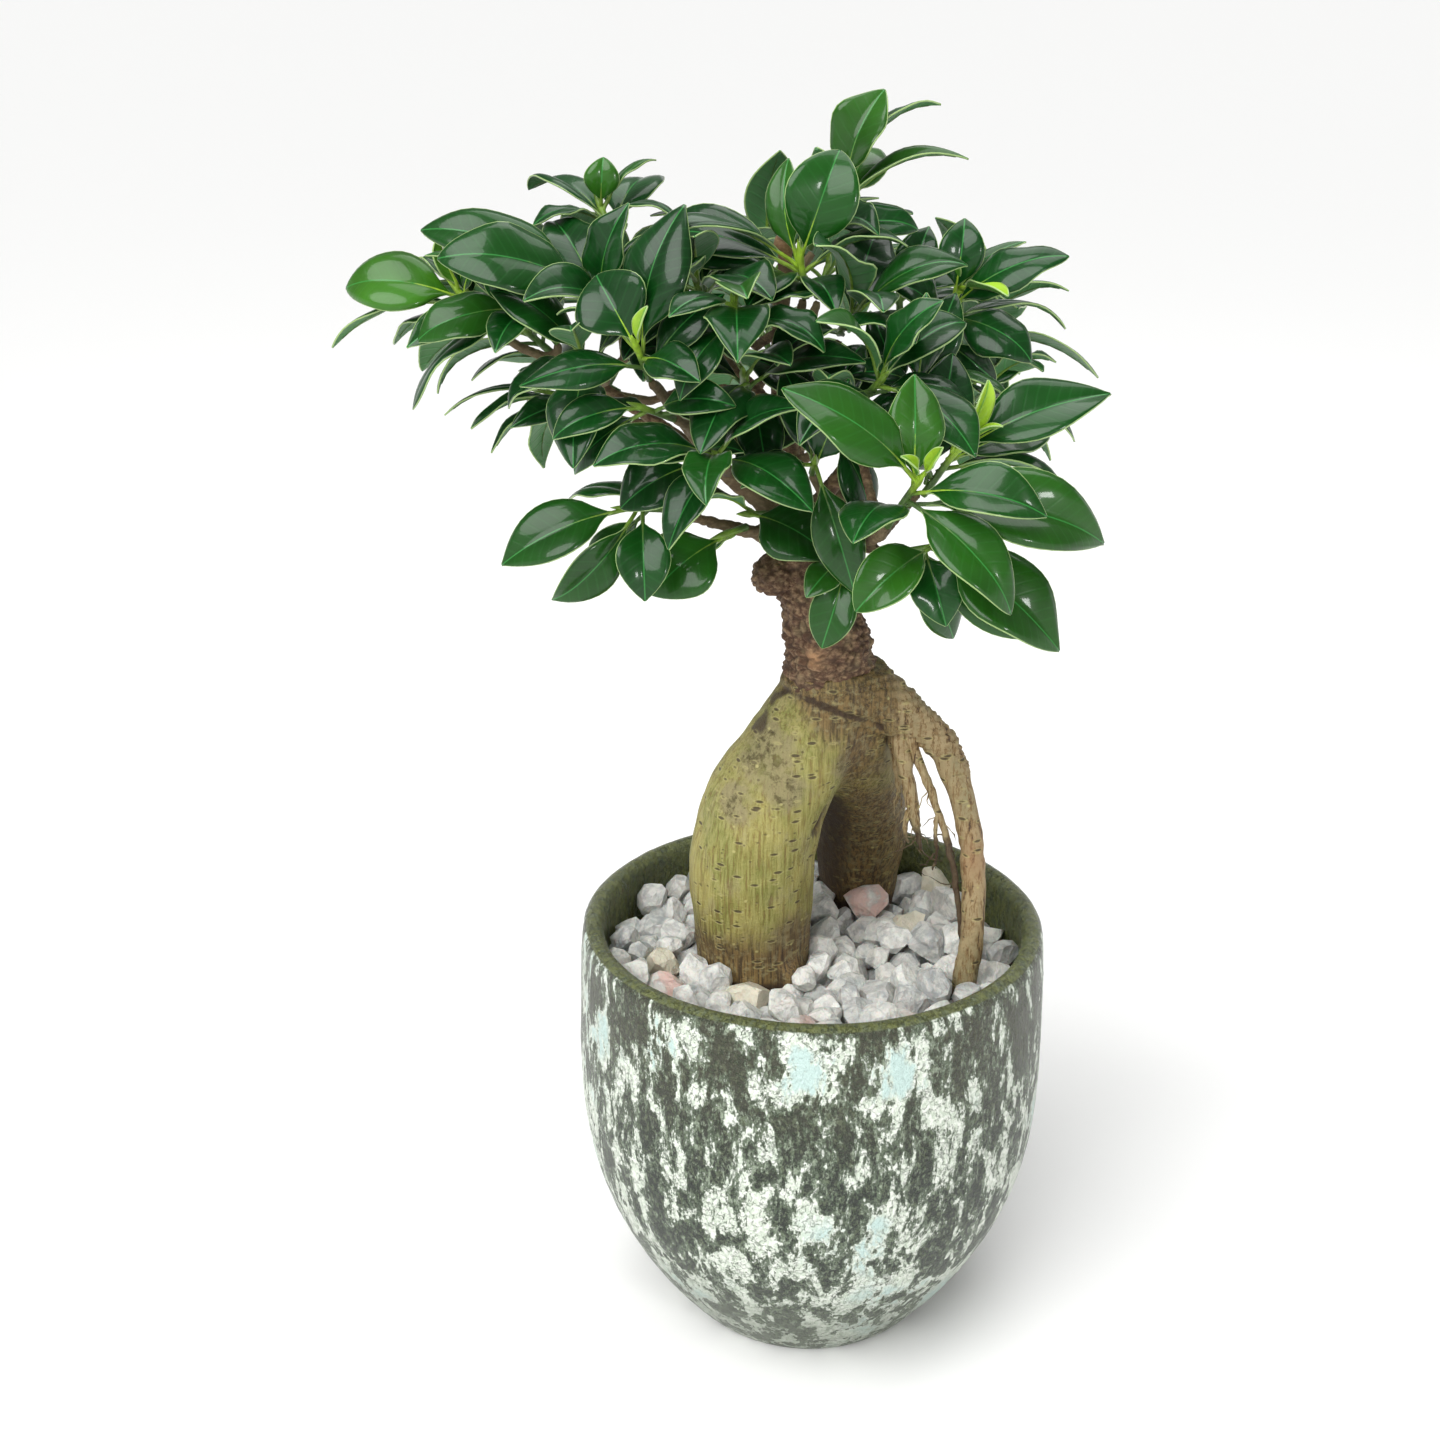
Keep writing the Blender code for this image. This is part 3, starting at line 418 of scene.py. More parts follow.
def new_material(name):
    """A material that holds only its shader, its node tree and its Object coordinates."""
    material = bpy.data.materials.new(name)
    material.use_nodes = True
    tree = material.node_tree
    return material, tree, add_node(tree, "TexCoord", output="Object")


def noises(tree, place, *rows):
    """Noise outputs. Each row has a noise's squash upwards, scale, detail, roughness and what may follow."""
    outputs = []
    for squash, *row in rows:
        drawn = add_node(tree, "VectorMath", place, (1, 1, squash), operation="MULTIPLY")
        outputs.append(add_node(tree, "TexNoise", drawn, *row))
    return outputs


def weighted(tree, total, *terms):
    """The sum of a start and of outputs, each times its weight."""
    for value, weight in terms:
        total = add_node(tree, "Math", value, weight, total, operation="MULTIPLY_ADD")
    return total


def coats(tree, base, *rows):
    """Lay coats over a base colour. Each row has a coat's colour, strength and mask.

    Two more values are where the mask fades from nothing to the whole coat.
    """
    for tint, strength, mask, *span in rows:
        if span:
            mask = add_node(tree, "MapRange", mask, *span, **SMOOTH)
        share = add_node(tree, "Math", mask, strength, operation="MULTIPLY")
        base = add_node(tree, "Mix", share, base, tint, data_type="RGBA")
    return base


def shaded(tree, base, pattern, low, high, darkest, lightest):
    """A colour made darker and lighter by a pattern."""
    shade = add_node(tree, "MapRange", pattern, low, high, darkest, lightest)
    return add_node(tree, "Mix", 1.0, base, shade, data_type="RGBA", blend_type="MULTIPLY")


def dress(tree, base, bump, finish):
    """Give the shader its base colour, its bump as (height, strength, distance) and its other inputs."""
    shader = tree.nodes["Principled BSDF"]
    plug(tree, shader.inputs["Base Color"], base)
    if bump:
        height, strength, distance = bump
        plug(tree, shader.inputs["Normal"], add_node(tree, "Bump", strength, distance, None, height))
    for name, value in finish.items():
        plug(tree, shader.inputs[name], value)


# Shoots and leaves


def next_ring(ring, seen):
    """The vertices one step on from a ring, away from those already seen."""
    return list({edge.other_vert(vert) for vert in ring for edge in vert.link_edges} - seen)


def edge_sum(vert):
    """The sum of the unit vectors along a vertex's edges, which is long at a sharp tip."""
    return sum(((edge.other_vert(vert).co - vert.co).normalized() for edge in vert.link_edges), Vector())


def ring_frame(ring, tip_side):
    """The midrib point, the left-to-right vector and the way up of a CAD leaf's ring of four points."""
    points = [vert.co.copy() for vert in ring]
    pairs = [(a, b) for i, a in enumerate(points) for b in points[i + 1 :]]
    top, bottom = min(pairs, key=lambda pair: (pair[0] - pair[1]).length)
    left, right = [point for point in points if point is not top and point is not bottom]
    middle = (top + bottom) / 2
    up = ((left + right) / 2 - middle).normalized()
    along = (tip_side - middle).normalized()
    across = left - right
    if across.dot(up.cross(along)) < 0:
        across = -across
    return middle, across, up


def fitted_midrib(tip, middles):
    """The root and bend of the quadratic curve nearest to the ring middles that ends at the tip."""
    rows = np.array([[(1 - t) ** 2, 2 * t * (1 - t)] for t in LEAF_STATIONS])
    aims = np.array([middle - tip * t**2 for t, middle in zip(LEAF_STATIONS, middles)])
    root, bend = np.linalg.lstsq(rows, aims, rcond=None)[0]
    return Vector(root), Vector(bend)


def read_leaves(bm):
    """Every leaf of a CAD shoot as (root, bend, tip, half width, way up, way right)."""
    leaves = []
    for vert in bm.verts:
        if len(vert.link_edges) != 4 or edge_sum(vert).length < 2:
            continue
        rings = [[vert]]
        seen = {vert}
        for _ in LEAF_STATIONS:
            rings.append(next_ring(rings[-1], seen))
            seen.update(rings[-1])
        if any(len(ring) != 4 for ring in rings[1:]):
            continue
        frames = [ring_frame(ring, vert.co) for ring in reversed(rings[1:])]
        root, bend = fitted_midrib(vert.co, [middle for middle, _, _ in frames])
        halves = [across.length / 2 / share for (_, across, _), share in zip(frames, LEAF_SHARES)]
        half = sum(halves) / len(halves)
        leaves.append((root, bend, vert.co.copy(), half, frames[1][2], frames[1][1].normalized()))
    return leaves


def read_stem(bm):
    """The lower end and the apex of a CAD shoot's stem."""
    stem_verts = [vert for vert in bm.verts if len(vert.link_edges) > 4]
    apex = max(stem_verts, key=lambda vert: edge_sum(vert).length / len(vert.link_edges))
    ring = [edge.other_vert(apex).co for edge in apex.link_edges]
    axis = (sum(ring, Vector()) / len(ring) - apex.co).normalized()
    depths = []
    for vert in bm.verts:
        depth = (vert.co - apex.co).dot(axis)
        if (vert.co - apex.co - axis * depth).length < 1.6 * MM:
            depths.append(depth)
    return apex.co + axis * max(depths), apex.co.copy()


def outline(share, fullness, lateness):
    """A ficus leaf's half width along its blade, of its widest; a late one is widest past the middle."""
    body = math.sin(math.pi * share**lateness) ** (fullness * (1.4 - 0.4 * share)) if 0 < share < 1 else 0
    return max(body * min(1, 0.25 + 3.2 * share), 0.045)


class Blade:
    """One leaf blade on the CAD leaf's midrib, with its own small differences in fold, twist and waves."""

    def __init__(self, leaf, random, settings):
        self.root, self.bend, self.tip, self.half, self.up, self.right = leaf
        self.length = (self.tip - self.root).length
        self.fold = settings.fold * random.uniform(-0.3, 2.1)
        self.pillow = settings.pillow * random.uniform(0.5, 1.5)
        self.roll = random.uniform(0.0, 0.22)
        self.fullness = random.uniform(0.66, 0.92)
        self.lateness = random.uniform(0.95, 1.15)
        self.twist = random.uniform(-0.5, 0.5)
        self.wave = random.uniform(0.01, 0.16)
        self.phase = random.uniform(0, 2 * math.pi, 2)
        self.waves = random.uniform(1.2, 2.6)
        self.droop = random.uniform(-0.01, 0.09)

    def at(self, t):
        """The midrib's place, the way up and the way to the right at a share of the whole leaf."""
        place = self.root * (1 - t) ** 2 + self.bend * 2 * t * (1 - t) + self.tip * t**2
        along = ((self.bend - self.root) * (1 - t) + (self.tip - self.bend) * t).normalized()
        up = (self.up - along * self.up.dot(along)).normalized()
        up = Matrix.Rotation(self.twist * (t - 0.4), 3, along) @ up
        return place - up * self.droop * self.length * max(t - 0.7, 0) ** 2 / 0.09, up, along.cross(up)

    def surface(self, across, share):
        """A point of the upper face, across from -1 to 1 and share from stalk to tip; its metric place."""
        place, up, right = self.at(STALK_SHARE + (1 - STALK_SHARE) * share)
        width = self.half * outline(share, self.fullness, self.lateness)
        reach = abs(across)
        phase = self.phase[0 if across < 0 else 1]
        rise = self.fold * (math.sqrt(reach**2 + 0.02) - 0.1414) + self.pillow * 2 * reach * (1 - reach)
        rise -= self.roll * reach**4
        rise += self.wave * reach**2 * math.sin(2 * math.pi * self.waves * share + phase)
        groove = GROOVE_DEPTH * bell(across * width, GROOVE_WIDTH) * min(1, 4 * (1 - share))
        point = place + right * across * width + up * (rise * width - groove)
        return point, across * width, share * self.length, width * (1 - reach)


def grow_blade(bm, layers, blade, tone, settings):
    """A closed blade: a grid bent to the leaf's surface, then given its thickness."""
    grid = bmesh.ops.create_grid(bm, x_segments=settings.columns, y_segments=settings.rows, size=0.5)
    faces = {face for vert in grid["verts"] for face in vert.link_faces}
    metric = {}
    for vert in grid["verts"]:
        across = math.copysign(abs(vert.co.x * 2) ** COLUMN_BUNCHING, vert.co.x)
        share = vert.co.y + 0.5
        share += ROW_BUNCHING * (0.5 - 0.5 * math.cos(math.pi * share) - share)
        vert.co, sideways, lengthways, edge = blade.surface(across, share)
        vert[layers["edge"]] = edge / MM
        vert[layers["tone"]] = tone
        metric[vert] = (sideways / CM, lengthways / CM)
    for face in faces:
        for loop in face.loops:
            loop[layers["map"]].uv = metric[loop.vert]
        face.normal_update()
        face.material_index = 0
    if sum(face.normal.dot(blade.up) for face in faces) < 0:
        bmesh.ops.reverse_faces(bm, faces=list(faces))
    shell = bmesh.ops.solidify(bm, geom=list(faces), thickness=settings.thickness)
    for item in shell["geom"]:
        if isinstance(item, bmesh.types.BMFace):
            item.material_index = 1


def stalk_route(blade, settings):
    """A leaf's stalk, which runs on under the blade as its raised midrib."""
    route = []
    for t in STALK_STATIONS:
        place, up, _ = blade.at(t)
        radius = STALK_RADIUS * (1 - 0.85 * max(t - 0.1, 0) / 0.9)
        under = min(max((t - 0.06) / 0.08, 0), 1)
        route.append((place - up * (settings.thickness + GROOVE_DEPTH * 0.6) * under, radius))
    return route


def stem_route(base, apex):
    """A shoot's green stem, with the pointed sheath of its bud."""
    axis = (apex - base).normalized()
    bare = (apex - base).length - BUD_LENGTH
    route = [(base + axis * bare * share, STEM_RADIUS * (1 - 0.15 * share)) for share in STEM_STATIONS]
    route += [(base + axis * (bare + BUD_LENGTH * share), STEM_RADIUS * girth) for share, girth in BUD_GIRTHS]
    return route


def leaf_tones(leaves, apex, random):
    """Each leaf's youth from 0 to 1, mostly old, and below 0 for the leaves deep in the crown, which get
    painted shade.
    """
    tones = []
    for root, _, tip, *_ in leaves:
        nearness = max(0, 1 - (root - apex).length / (12 * MM))
        tone = random.uniform(0, 0.55) ** 2 + 0.12 * nearness
        # Painted shade: the deeper a leaf lies in the crown, the darker it is made.
        away = (root + tip) / 2 - CROWN_CENTRE
        depth = 1 - Vector(a / b for a, b in zip(away, CROWN_REACH)).length / PAINTED_SHADE_SHARE
        young = min((tip - Vector(place)).length for place in YOUNG_TIPS) < 6 * MM
        tones.append(YOUNG_TONE if young else tone - max(depth, 0))
    return tones


def new_leaves(name, base, apex, random, settings):
    """The small bright leaves that are still unrolling beside a bud, where the shoot has any."""
    axis = (apex - base).normalized()
    made = []
    for offset, half in NEW_LEAVES.get(name, ()):
        root = apex - axis * 0.005
        tip = apex + Vector(offset) * MM
        up = (axis - (tip - root).normalized() * 0.9).normalized() + Vector((0, -0.4, 0.3))
        bend = (root + tip) / 2 + up * (tip - root).length * 0.12
        blade = Blade((root, bend, tip, half * MM, up.normalized(), up), random, settings)
        blade.fold = NEW_FOLD
        made.append(blade)
    return made


def make_shoot(name, materials, random, settings):
    """One shoot as one piece: stem, bud, and leaves with their stalks. Gives its number of CAD leaves."""
    source = merged(name)
    leaves = read_leaves(source)
    base, apex = read_stem(source)
    source.free()
    blades = [Blade(leaf, random, settings) for leaf in leaves]
    tones = leaf_tones(leaves, apex, random)
    young = new_leaves(name, base, apex, random, settings)
    blades += young
    tones += [NEW_TONE] * len(young)
    bm = draw_tubes(name, [stem_route(base, apex)] + [stalk_route(blade, settings) for blade in blades], 6)
    layers = {
        "edge": bm.verts.layers.float.new("edge"),
        "tone": bm.verts.layers.float.new("tone"),
        "map": bm.loops.layers.uv.new("Blade"),
    }
    for vert in bm.verts:
        bud = 1 - (vert.co - apex).length / (BUD_LENGTH * 1.3)
        vert[layers["tone"]] = min(max(bud * 3, 0), 1) * (1.0 if name in NEW_LEAVES else OLD_BUD_TONE)
    for face in bm.faces:
        face.material_index = 2
    for blade, tone in zip(blades, tones):
        grow_blade(bm, layers, blade, tone, settings)
    finish_piece(mesh_object(f"{name}_leaves", bm, materials), "ficus_leaf", name)
    return len(leaves)


def leaf_patterns(tree, place):
    """A leaf's own patterns: cm from the midrib, side veins swept forwards, mm from the margin, and youth,
    which is below 0 where shade is painted.
    """
    uv = add_node(tree, "UVMap", uv_map="Blade")
    across, along = [add_node(tree, "SeparateXYZ", uv, output=axis) for axis in "XY"]
    across = add_node(tree, "Math", across, operation="ABSOLUTE")
    edge, tone = [add_node(tree, "Attribute", attribute_name=name, output="Fac") for name in ("edge", "tone")]
    (wobble,) = noises(tree, place, (1, 25.0, 2.0, 0.5))
    phase = weighted(tree, wobble, (along, 1 / VEIN_SPACING), (across, -VEIN_SWEEP / VEIN_SPACING))
    cycle = add_node(tree, "Math", phase, 0.5, operation="PINGPONG")
    return across, add_node(tree, "MapRange", cycle, 0.16, 0.02, **SMOOTH), edge, tone


def leaf_upper(settings):
    """Ficus leaf, upper face: thick waxy cuticle, so it is deep green, smooth and mirror-bright in places."""
    material, tree, place = new_material("ficus_leaf_upper")
    across, veins, edge, tone = leaf_patterns(tree, place)
    cloud, grain, ripple = noises(tree, place, (1, 45.0, 3.0, 0.5), (1, 260.0, 2.0, 0.5), (1, 85.0, 2.0, 0.5))
    # Youth brightens a leaf and a new one takes its bud's colour; a tone below 0 paints shade deep in the
    # crown.
    base = coats(
        tree, settings.upper, (settings.young, 1.0, tone), (settings.bud, 1.0, tone, 1, NEW_TONE),
        (settings.shaded, -1.2, tone),
    )
    base = shaded(tree, base, cloud, 0.3, 0.7, 0.72, 1.3)
    base = coats(
        tree, base, (settings.vein, 0.05, veins), (settings.vein, 0.65, across, 0.028, 0.006),
        (settings.margin, 0.9, edge, 0.26, 0.06),
    )
    height = weighted(tree, 0.0, (grain, 0.12), (veins, -0.06), (ripple, 1.6))
    wax = {"Roughness": 0.34, "Specular IOR Level": 0.24, "IOR": 1.45}
    wax |= {"Coat Weight": 0.4, "Coat Roughness": 0.08}
    dress(tree, base, (height, 0.5, 0.0006), wax)
    return material


def leaf_under(settings):
    """Ficus leaf, underside: no wax, so it is paler, greyer and dull, with every vein raised."""
    material, tree, place = new_material("ficus_leaf_underside")
    _, veins, edge, tone = leaf_patterns(tree, place)
    base = coats(
        tree, settings.under, (settings.vein, 0.3, veins), (settings.young, 0.5, tone),
        (settings.margin, 0.8, edge, 0.35, 0.1),
    )
    dress(tree, base, (veins, 0.4, 0.0003), {"Roughness": 0.5})
    return material


def green_stem(settings):
    """Green stem and stalk: young skin, not yet bark, with a yellower waxy sheath on the bud."""
    material, tree, place = new_material("green_stem_skin")
    tone = add_node(tree, "Attribute", attribute_name="tone", output="Fac")
    (speck,) = noises(tree, place, (1, 500.0, 3.0, 0.5))
    base = coats(tree, settings.stem, (settings.bud, 1.0, tone))
    dress(tree, shaded(tree, base, speck, 0.35, 0.7, 0.65, 1.15), None, {"Roughness": 0.42})
    return material


class BONSAI_OT_shoots(bpy.types.Operator):
    """Grow every shoot: its stem, bud, leaf stalks and blades"""

    bl_idname = "bonsai.shoots"
    bl_label = "Shoots and Leaves"

    def execute(self, context):
        settings = context.scene.bonsai_leaves
        materials = [leaf_upper(settings), leaf_under(settings), green_stem(settings)]
        random = np.random.default_rng(SEED)
        leaves = sum(make_shoot(name, materials, random, settings) for name in SHOOTS)
        self.report({"INFO"}, f"{leaves} leaves on {len(SHOOTS)} shoots")
        return {"FINISHED"}


# Pot


def wall_curve(tree, low, high, outside):
    """The CAD wall's radius as a smooth function of height, outside or inside."""
    heights = np.linspace(low, high, 40)
    radii = []
    for height in heights:
        start = Vector((0.2 if outside else 0.0, 1e-5, height))
        radii.append(tree.ray_cast(start, Vector((-1 if outside else 1, 0, 0)))[0].x)
    return np.polynomial.Polynomial.fit(heights, radii, 7)


def pot_profile(settings):
    """The pot's half section from under the foot, over the lip and down inside, as (radius, height)."""
    tree = BVHTree.FromBMesh(merged("ceramic_pot"))
    shoulder = POT_HIGH.z - LIP_HEIGHT
    outer = wall_curve(tree, FOOT_HEIGHT, shoulder, True)
    inner = wall_curve(tree, INNER_FOOT, shoulder, False)
    foot = outer(FOOT_HEIGHT)
    ring = foot - FOOT_RING
    profile = [(0, POT_BASE), (ring - 0.001, POT_BASE), (ring, 0), (foot - FOOT_HEIGHT, 0)]
    profile += [(outer(height), height) for height in np.linspace(FOOT_HEIGHT, shoulder, settings.stations)]
    middle = (outer(shoulder) + inner(shoulder)) / 2
    half = (outer(shoulder) - inner(shoulder)) / 2
    for step in range(1, LIP_STEPS):
        angle = math.pi * step / LIP_STEPS
        profile.append((middle + half * math.cos(angle), shoulder + LIP_HEIGHT * math.sin(angle)))
    heights = np.linspace(shoulder, INNER_FOOT, settings.stations // 2)
    profile += [(inner(height), height) for height in heights]
    profile += [(inner(INNER_FOOT) - 0.006, INNER_FLOOR), (0, INNER_FLOOR)]
    return profile, outer


def throw_pot(settings):
    """Turn the pot and give it the small unevenness of a thrown, thickly glazed body."""
    profile, outer = pot_profile(settings)
    bm = bmesh.new()
    verts = [bm.verts.new((radius, 0, height)) for radius, height in profile]
    edges = [bm.edges.new(pair) for pair in zip(verts, verts[1:])]
    bmesh.ops.spin(
        bm, geom=verts + edges, cent=(0, 0, 0), axis=(0, 0, 1), angle=2 * math.pi, steps=settings.sides,
        use_merge=True,
    )
    bmesh.ops.remove_doubles(bm, verts=bm.verts, dist=1e-6)
    bmesh.ops.recalc_face_normals(bm, faces=bm.faces)
    bare = bm.verts.layers.float.new("inside")
    for vert in bm.verts:
        height = vert.co.z
        radius = vert.co.xy.length
        within = radius < outer(min(max(height, 0.002), POT_HIGH.z - LIP_HEIGHT)) - 0.002
        lip = (height - POT_HIGH.z + 0.0018) / 0.0015
        vert[bare] = 1 if within and height > 0.008 else min(max(lip, 0), 1)
        if height < 0.004 or radius < 0.03:
            continue
        swell = noise.noise(vert.co * 28) + 0.45 * noise.noise(vert.co * 110)
        swell += 0.5 * noise.fractal(Vector((vert.co.x, vert.co.y, vert.co.z * 0.45)) * 260, 0.8, 2.0, 3)
        vert.co.xy *= 1 + settings.relief * swell / radius
        rise = min(max((height - 0.08) / 0.05, 0), 1)
        vert.co.z += 0.0006 * rise * noise.noise(Vector((vert.co.x, vert.co.y, 0)) * 22)
    return bm


def thick_patches(tree, place):
    """1 inside the thick patches of pale glaze, falling to 0 at their torn borders."""
    drawn = add_node(tree, "VectorMath", place, (1, 1, 0.4), operation="MULTIPLY")
    ragged = add_node(tree, "TexNoise", drawn, 190.0, 5.0, 0.65, output="Color")
    ragged = add_node(tree, "VectorMath", ragged, (0.5, 0.5, 0.5), operation="SUBTRACT")
    torn = add_node(tree, "VectorMath", ragged, (GLAZE_TEAR,) * 3, place, operation="MULTIPLY_ADD")
    total = 0.0
    for centre, (wide, tall) in AQUA_PATCHES:
        moved = add_node(tree, "VectorMath", torn, centre, operation="SUBTRACT")
        scaled = add_node(tree, "VectorMath", moved, (1 / wide, 1 / wide, 1 / tall), operation="MULTIPLY")
        reach = add_node(tree, "VectorMath", scaled, operation="LENGTH")
        inside = add_node(tree, "MapRange", reach, 1.5, 0.35, **SMOOTH)
        total = add_node(tree, "Math", inside, total, operation="MAXIMUM")
    return total


def reactive_glaze(settings):
    """Reactive stoneware glaze: a pale glaze has broken and run over a dark one in ragged upright flames."""
    material, tree, place = new_material("reactive_glaze")
    height = add_node(tree, "SeparateXYZ", place, output="Z")
    within = add_node(tree, "Attribute", attribute_name="inside", output="Fac")
    blotch, runs, region, mottle, chips, spray, crazing, pits = noises(
        tree, place, (0.45, 122.0, 7.0, 0.64, 2.0, 0.45), (0.16, 480.0, 5.0, 0.7), (1, 24.0, 2.0, 0.5),
        (0.5, 360.0, 6.0, 0.72), (0.7, 760.0, 4.0, 0.7), (0.5, 560.0, 6.0, 0.75), (1, 330.0, 4.0, 0.6),
        (1, 800.0, 3.0, 0.6),
    )
    patches = thick_patches(tree, place)
    upper = add_node(tree, "MapRange", height, 0.075, 0.125, **SMOOTH)
    level = weighted(
        tree, GLAZE_BIAS, (blotch, 1.0), (runs, 0.24), (region, 0.26), (upper, -0.05), (patches, 0.22),
        (mottle, 0.22), (chips, 0.2),
    )
    pale = add_node(tree, "MapRange", level, 0.628, 0.648, **SMOOTH)
    spray = add_node(tree, "MapRange", spray, 0.545, 0.59, **SMOOTH)
    near = add_node(tree, "MapRange", level, 0.46, 0.58, **SMOOTH)
    spray = add_node(tree, "Math", spray, near, operation="MULTIPLY")
    wide = add_node(tree, "MapRange", region, 0.56, 0.66, **SMOOTH)
    patches = add_node(tree, "MapRange", patches, 0.35, 0.9, **SMOOTH)
    deep = add_node(tree, "MapRange", level, 0.64, 0.76, **SMOOTH)
    thick = add_node(tree, "Math", wide, patches, operation="MAXIMUM")
    thick = add_node(tree, "Math", thick, deep, operation="MULTIPLY")
    thin = add_node(tree, "Math", 1.0, thick, operation="SUBTRACT")
    cracks = add_node(tree, "Math", crazing, 0.5, operation="SUBTRACT")
    cracks = add_node(tree, "Math", cracks, operation="ABSOLUTE")
    cracks = add_node(tree, "MapRange", cracks, 0.022, 0.0, 0.0, 0.6, **SMOOTH)
    cracks = add_node(tree, "Math", cracks, thin, operation="MULTIPLY")
    dark = coats(
        tree, settings.ground, (settings.ground_light, 1.0, chips, 0.48, 0.62), (settings.worn, 0.4, upper),
        (settings.halo, 0.6, level, 0.56, 0.622), (settings.spray, 0.75, spray),
    )
    flecks = coats(
        tree, settings.pale, (settings.crackle, 1.0, chips, 0.42, 0.6), (settings.aqua, 1.0, thick)
    )
    olive = coats(tree, settings.inside, (settings.ground_light, 1.0, mottle, 0.4, 0.7))
    base = coats(
        tree, dark, (flecks, 1.0, pale), (settings.halo, 1.0, cracks),
        # Towards the foot every glaze is drawn halfway to the thin ground glaze: thinner glaze there, and
        # painted shade that darkens the pale glaze.
        (settings.ground_light, 0.5, height, 0.05, 0.012),
        (olive, 1.0, weighted(tree, within, (mottle, 0.5)), 0.55, 0.85),
    )
    surface = weighted(tree, 0.0, (pits, 0.7), (pale, 0.4), (chips, 0.9), (cracks, -1.0))
    rough = add_node(tree, "MapRange", pale, 0, 1, 0.27, 0.42)
    dress(tree, base, (surface, 1.0, 0.0012), {"Roughness": rough, "IOR": 1.5})
    return material


class BONSAI_OT_pot(bpy.types.Operator):
    """Throw the pot and glaze it"""

    bl_idname = "bonsai.pot"
    bl_label = "Glazed Pot"

    def execute(self, context):
        settings = context.scene.bonsai_pot
        obj = mesh_object("glazed_pot", throw_pot(settings), [reactive_glaze(settings)])
        finish_piece(obj, "reactive_glaze", "ceramic_pot")
        return {"FINISHED"}


# Marble chips and soil


def root_distance(tree, place):
    """The signed distance from the roots' skin and the way out of it."""
    hit, normal, _, distance = tree.find_nearest(place)
    away = place - hit
    if away.dot(normal) < 0:
        return -distance, normal
    return distance, away.normalized() if distance > 1e-7 else normal


def settle(radii, random, wall, roots):
    """Let spheres sink into the pot until they lie on each other, clear of the wall and the roots."""
    count = len(radii)
    angle = random.uniform(0, 2 * math.pi, count)
    reach = np.sqrt(random.uniform(0, 1, count)) * (wall - radii)
    height = BED_FLOOR + random.uniform(0.1, 1, count) * BED_DEPTH
    places = np.stack([reach * np.cos(angle), reach * np.sin(angle), height], axis=1)
    sizes = radii[:, None] + radii[None]
    for step in range(SETTLE_STEPS):
        if step < SETTLE_STEPS - CALM_STEPS:
            places[:, 2] -= SINKING * (1 - step / SETTLE_STEPS)
        for _ in range(2):
            gaps = places[:, None] - places[None]
            spans = np.linalg.norm(gaps, axis=2) + np.eye(count)
            overlap = np.clip(sizes - spans, 0, None) * (1 - np.eye(count))
            places += PUSH * (gaps * (overlap / spans)[..., None]).sum(axis=1)
        reach = np.linalg.norm(places[:, :2], axis=1)
        pull = np.minimum(1, (wall - radii * 0.95) / np.maximum(reach, 1e-6))
        places[:, :2] *= pull[:, None]
        places[:, 2] = np.maximum(places[:, 2], BED_FLOOR + radii * 0.6)
        for i, radius in enumerate(radii):
            gap, way = root_distance(roots, Vector(places[i]))
            if gap < radius * 0.9:
                places[i] += np.array(way * (radius * 0.9 - gap))
    return places


def stone_shape(random):
    """A broken marble chip: a lump cut by flat breaks, with its edges a little worn."""
    bm = bmesh.new()
    bmesh.ops.create_icosphere(bm, subdivisions=2, radius=1.3)
    bmesh.ops.scale(bm, vec=(1.05, random.uniform(0.75, 1.0), random.uniform(0.65, 0.9)), verts=bm.verts)
    seed = Vector(random.uniform(-9, 9, 3))
    for vert in bm.verts:
        lump = 0.30 * noise.noise_vector(vert.co * 1.1 + seed)
        vert.co += lump + 0.13 * noise.noise_vector(vert.co * 2.6 + seed)
    for _ in range(STONE_CUTS):
        normal = Vector(random.normal(size=3)).normalized()
        reach = max(vert.co.dot(normal) for vert in bm.verts) * random.uniform(0.6, 0.88)
        geom = bm.verts[:] + bm.edges[:] + bm.faces[:]
        cut = bmesh.ops.bisect_plane(
            bm, geom=geom, plane_co=normal * reach, plane_no=normal, clear_outer=True
        )
        edges = [item for item in cut["geom_cut"] if isinstance(item, bmesh.types.BMEdge)]
        bmesh.ops.contextual_create(bm, geom=edges)
    bmesh.ops.remove_doubles(bm, verts=bm.verts, dist=0.05)
    bmesh.ops.triangulate(bm, faces=bm.faces)
    bmesh.ops.recalc_face_normals(bm, faces=bm.faces)
    mesh = bpy.data.meshes.new("stone_shape")
    bm.to_mesh(mesh)
    bm.free()
    return mesh


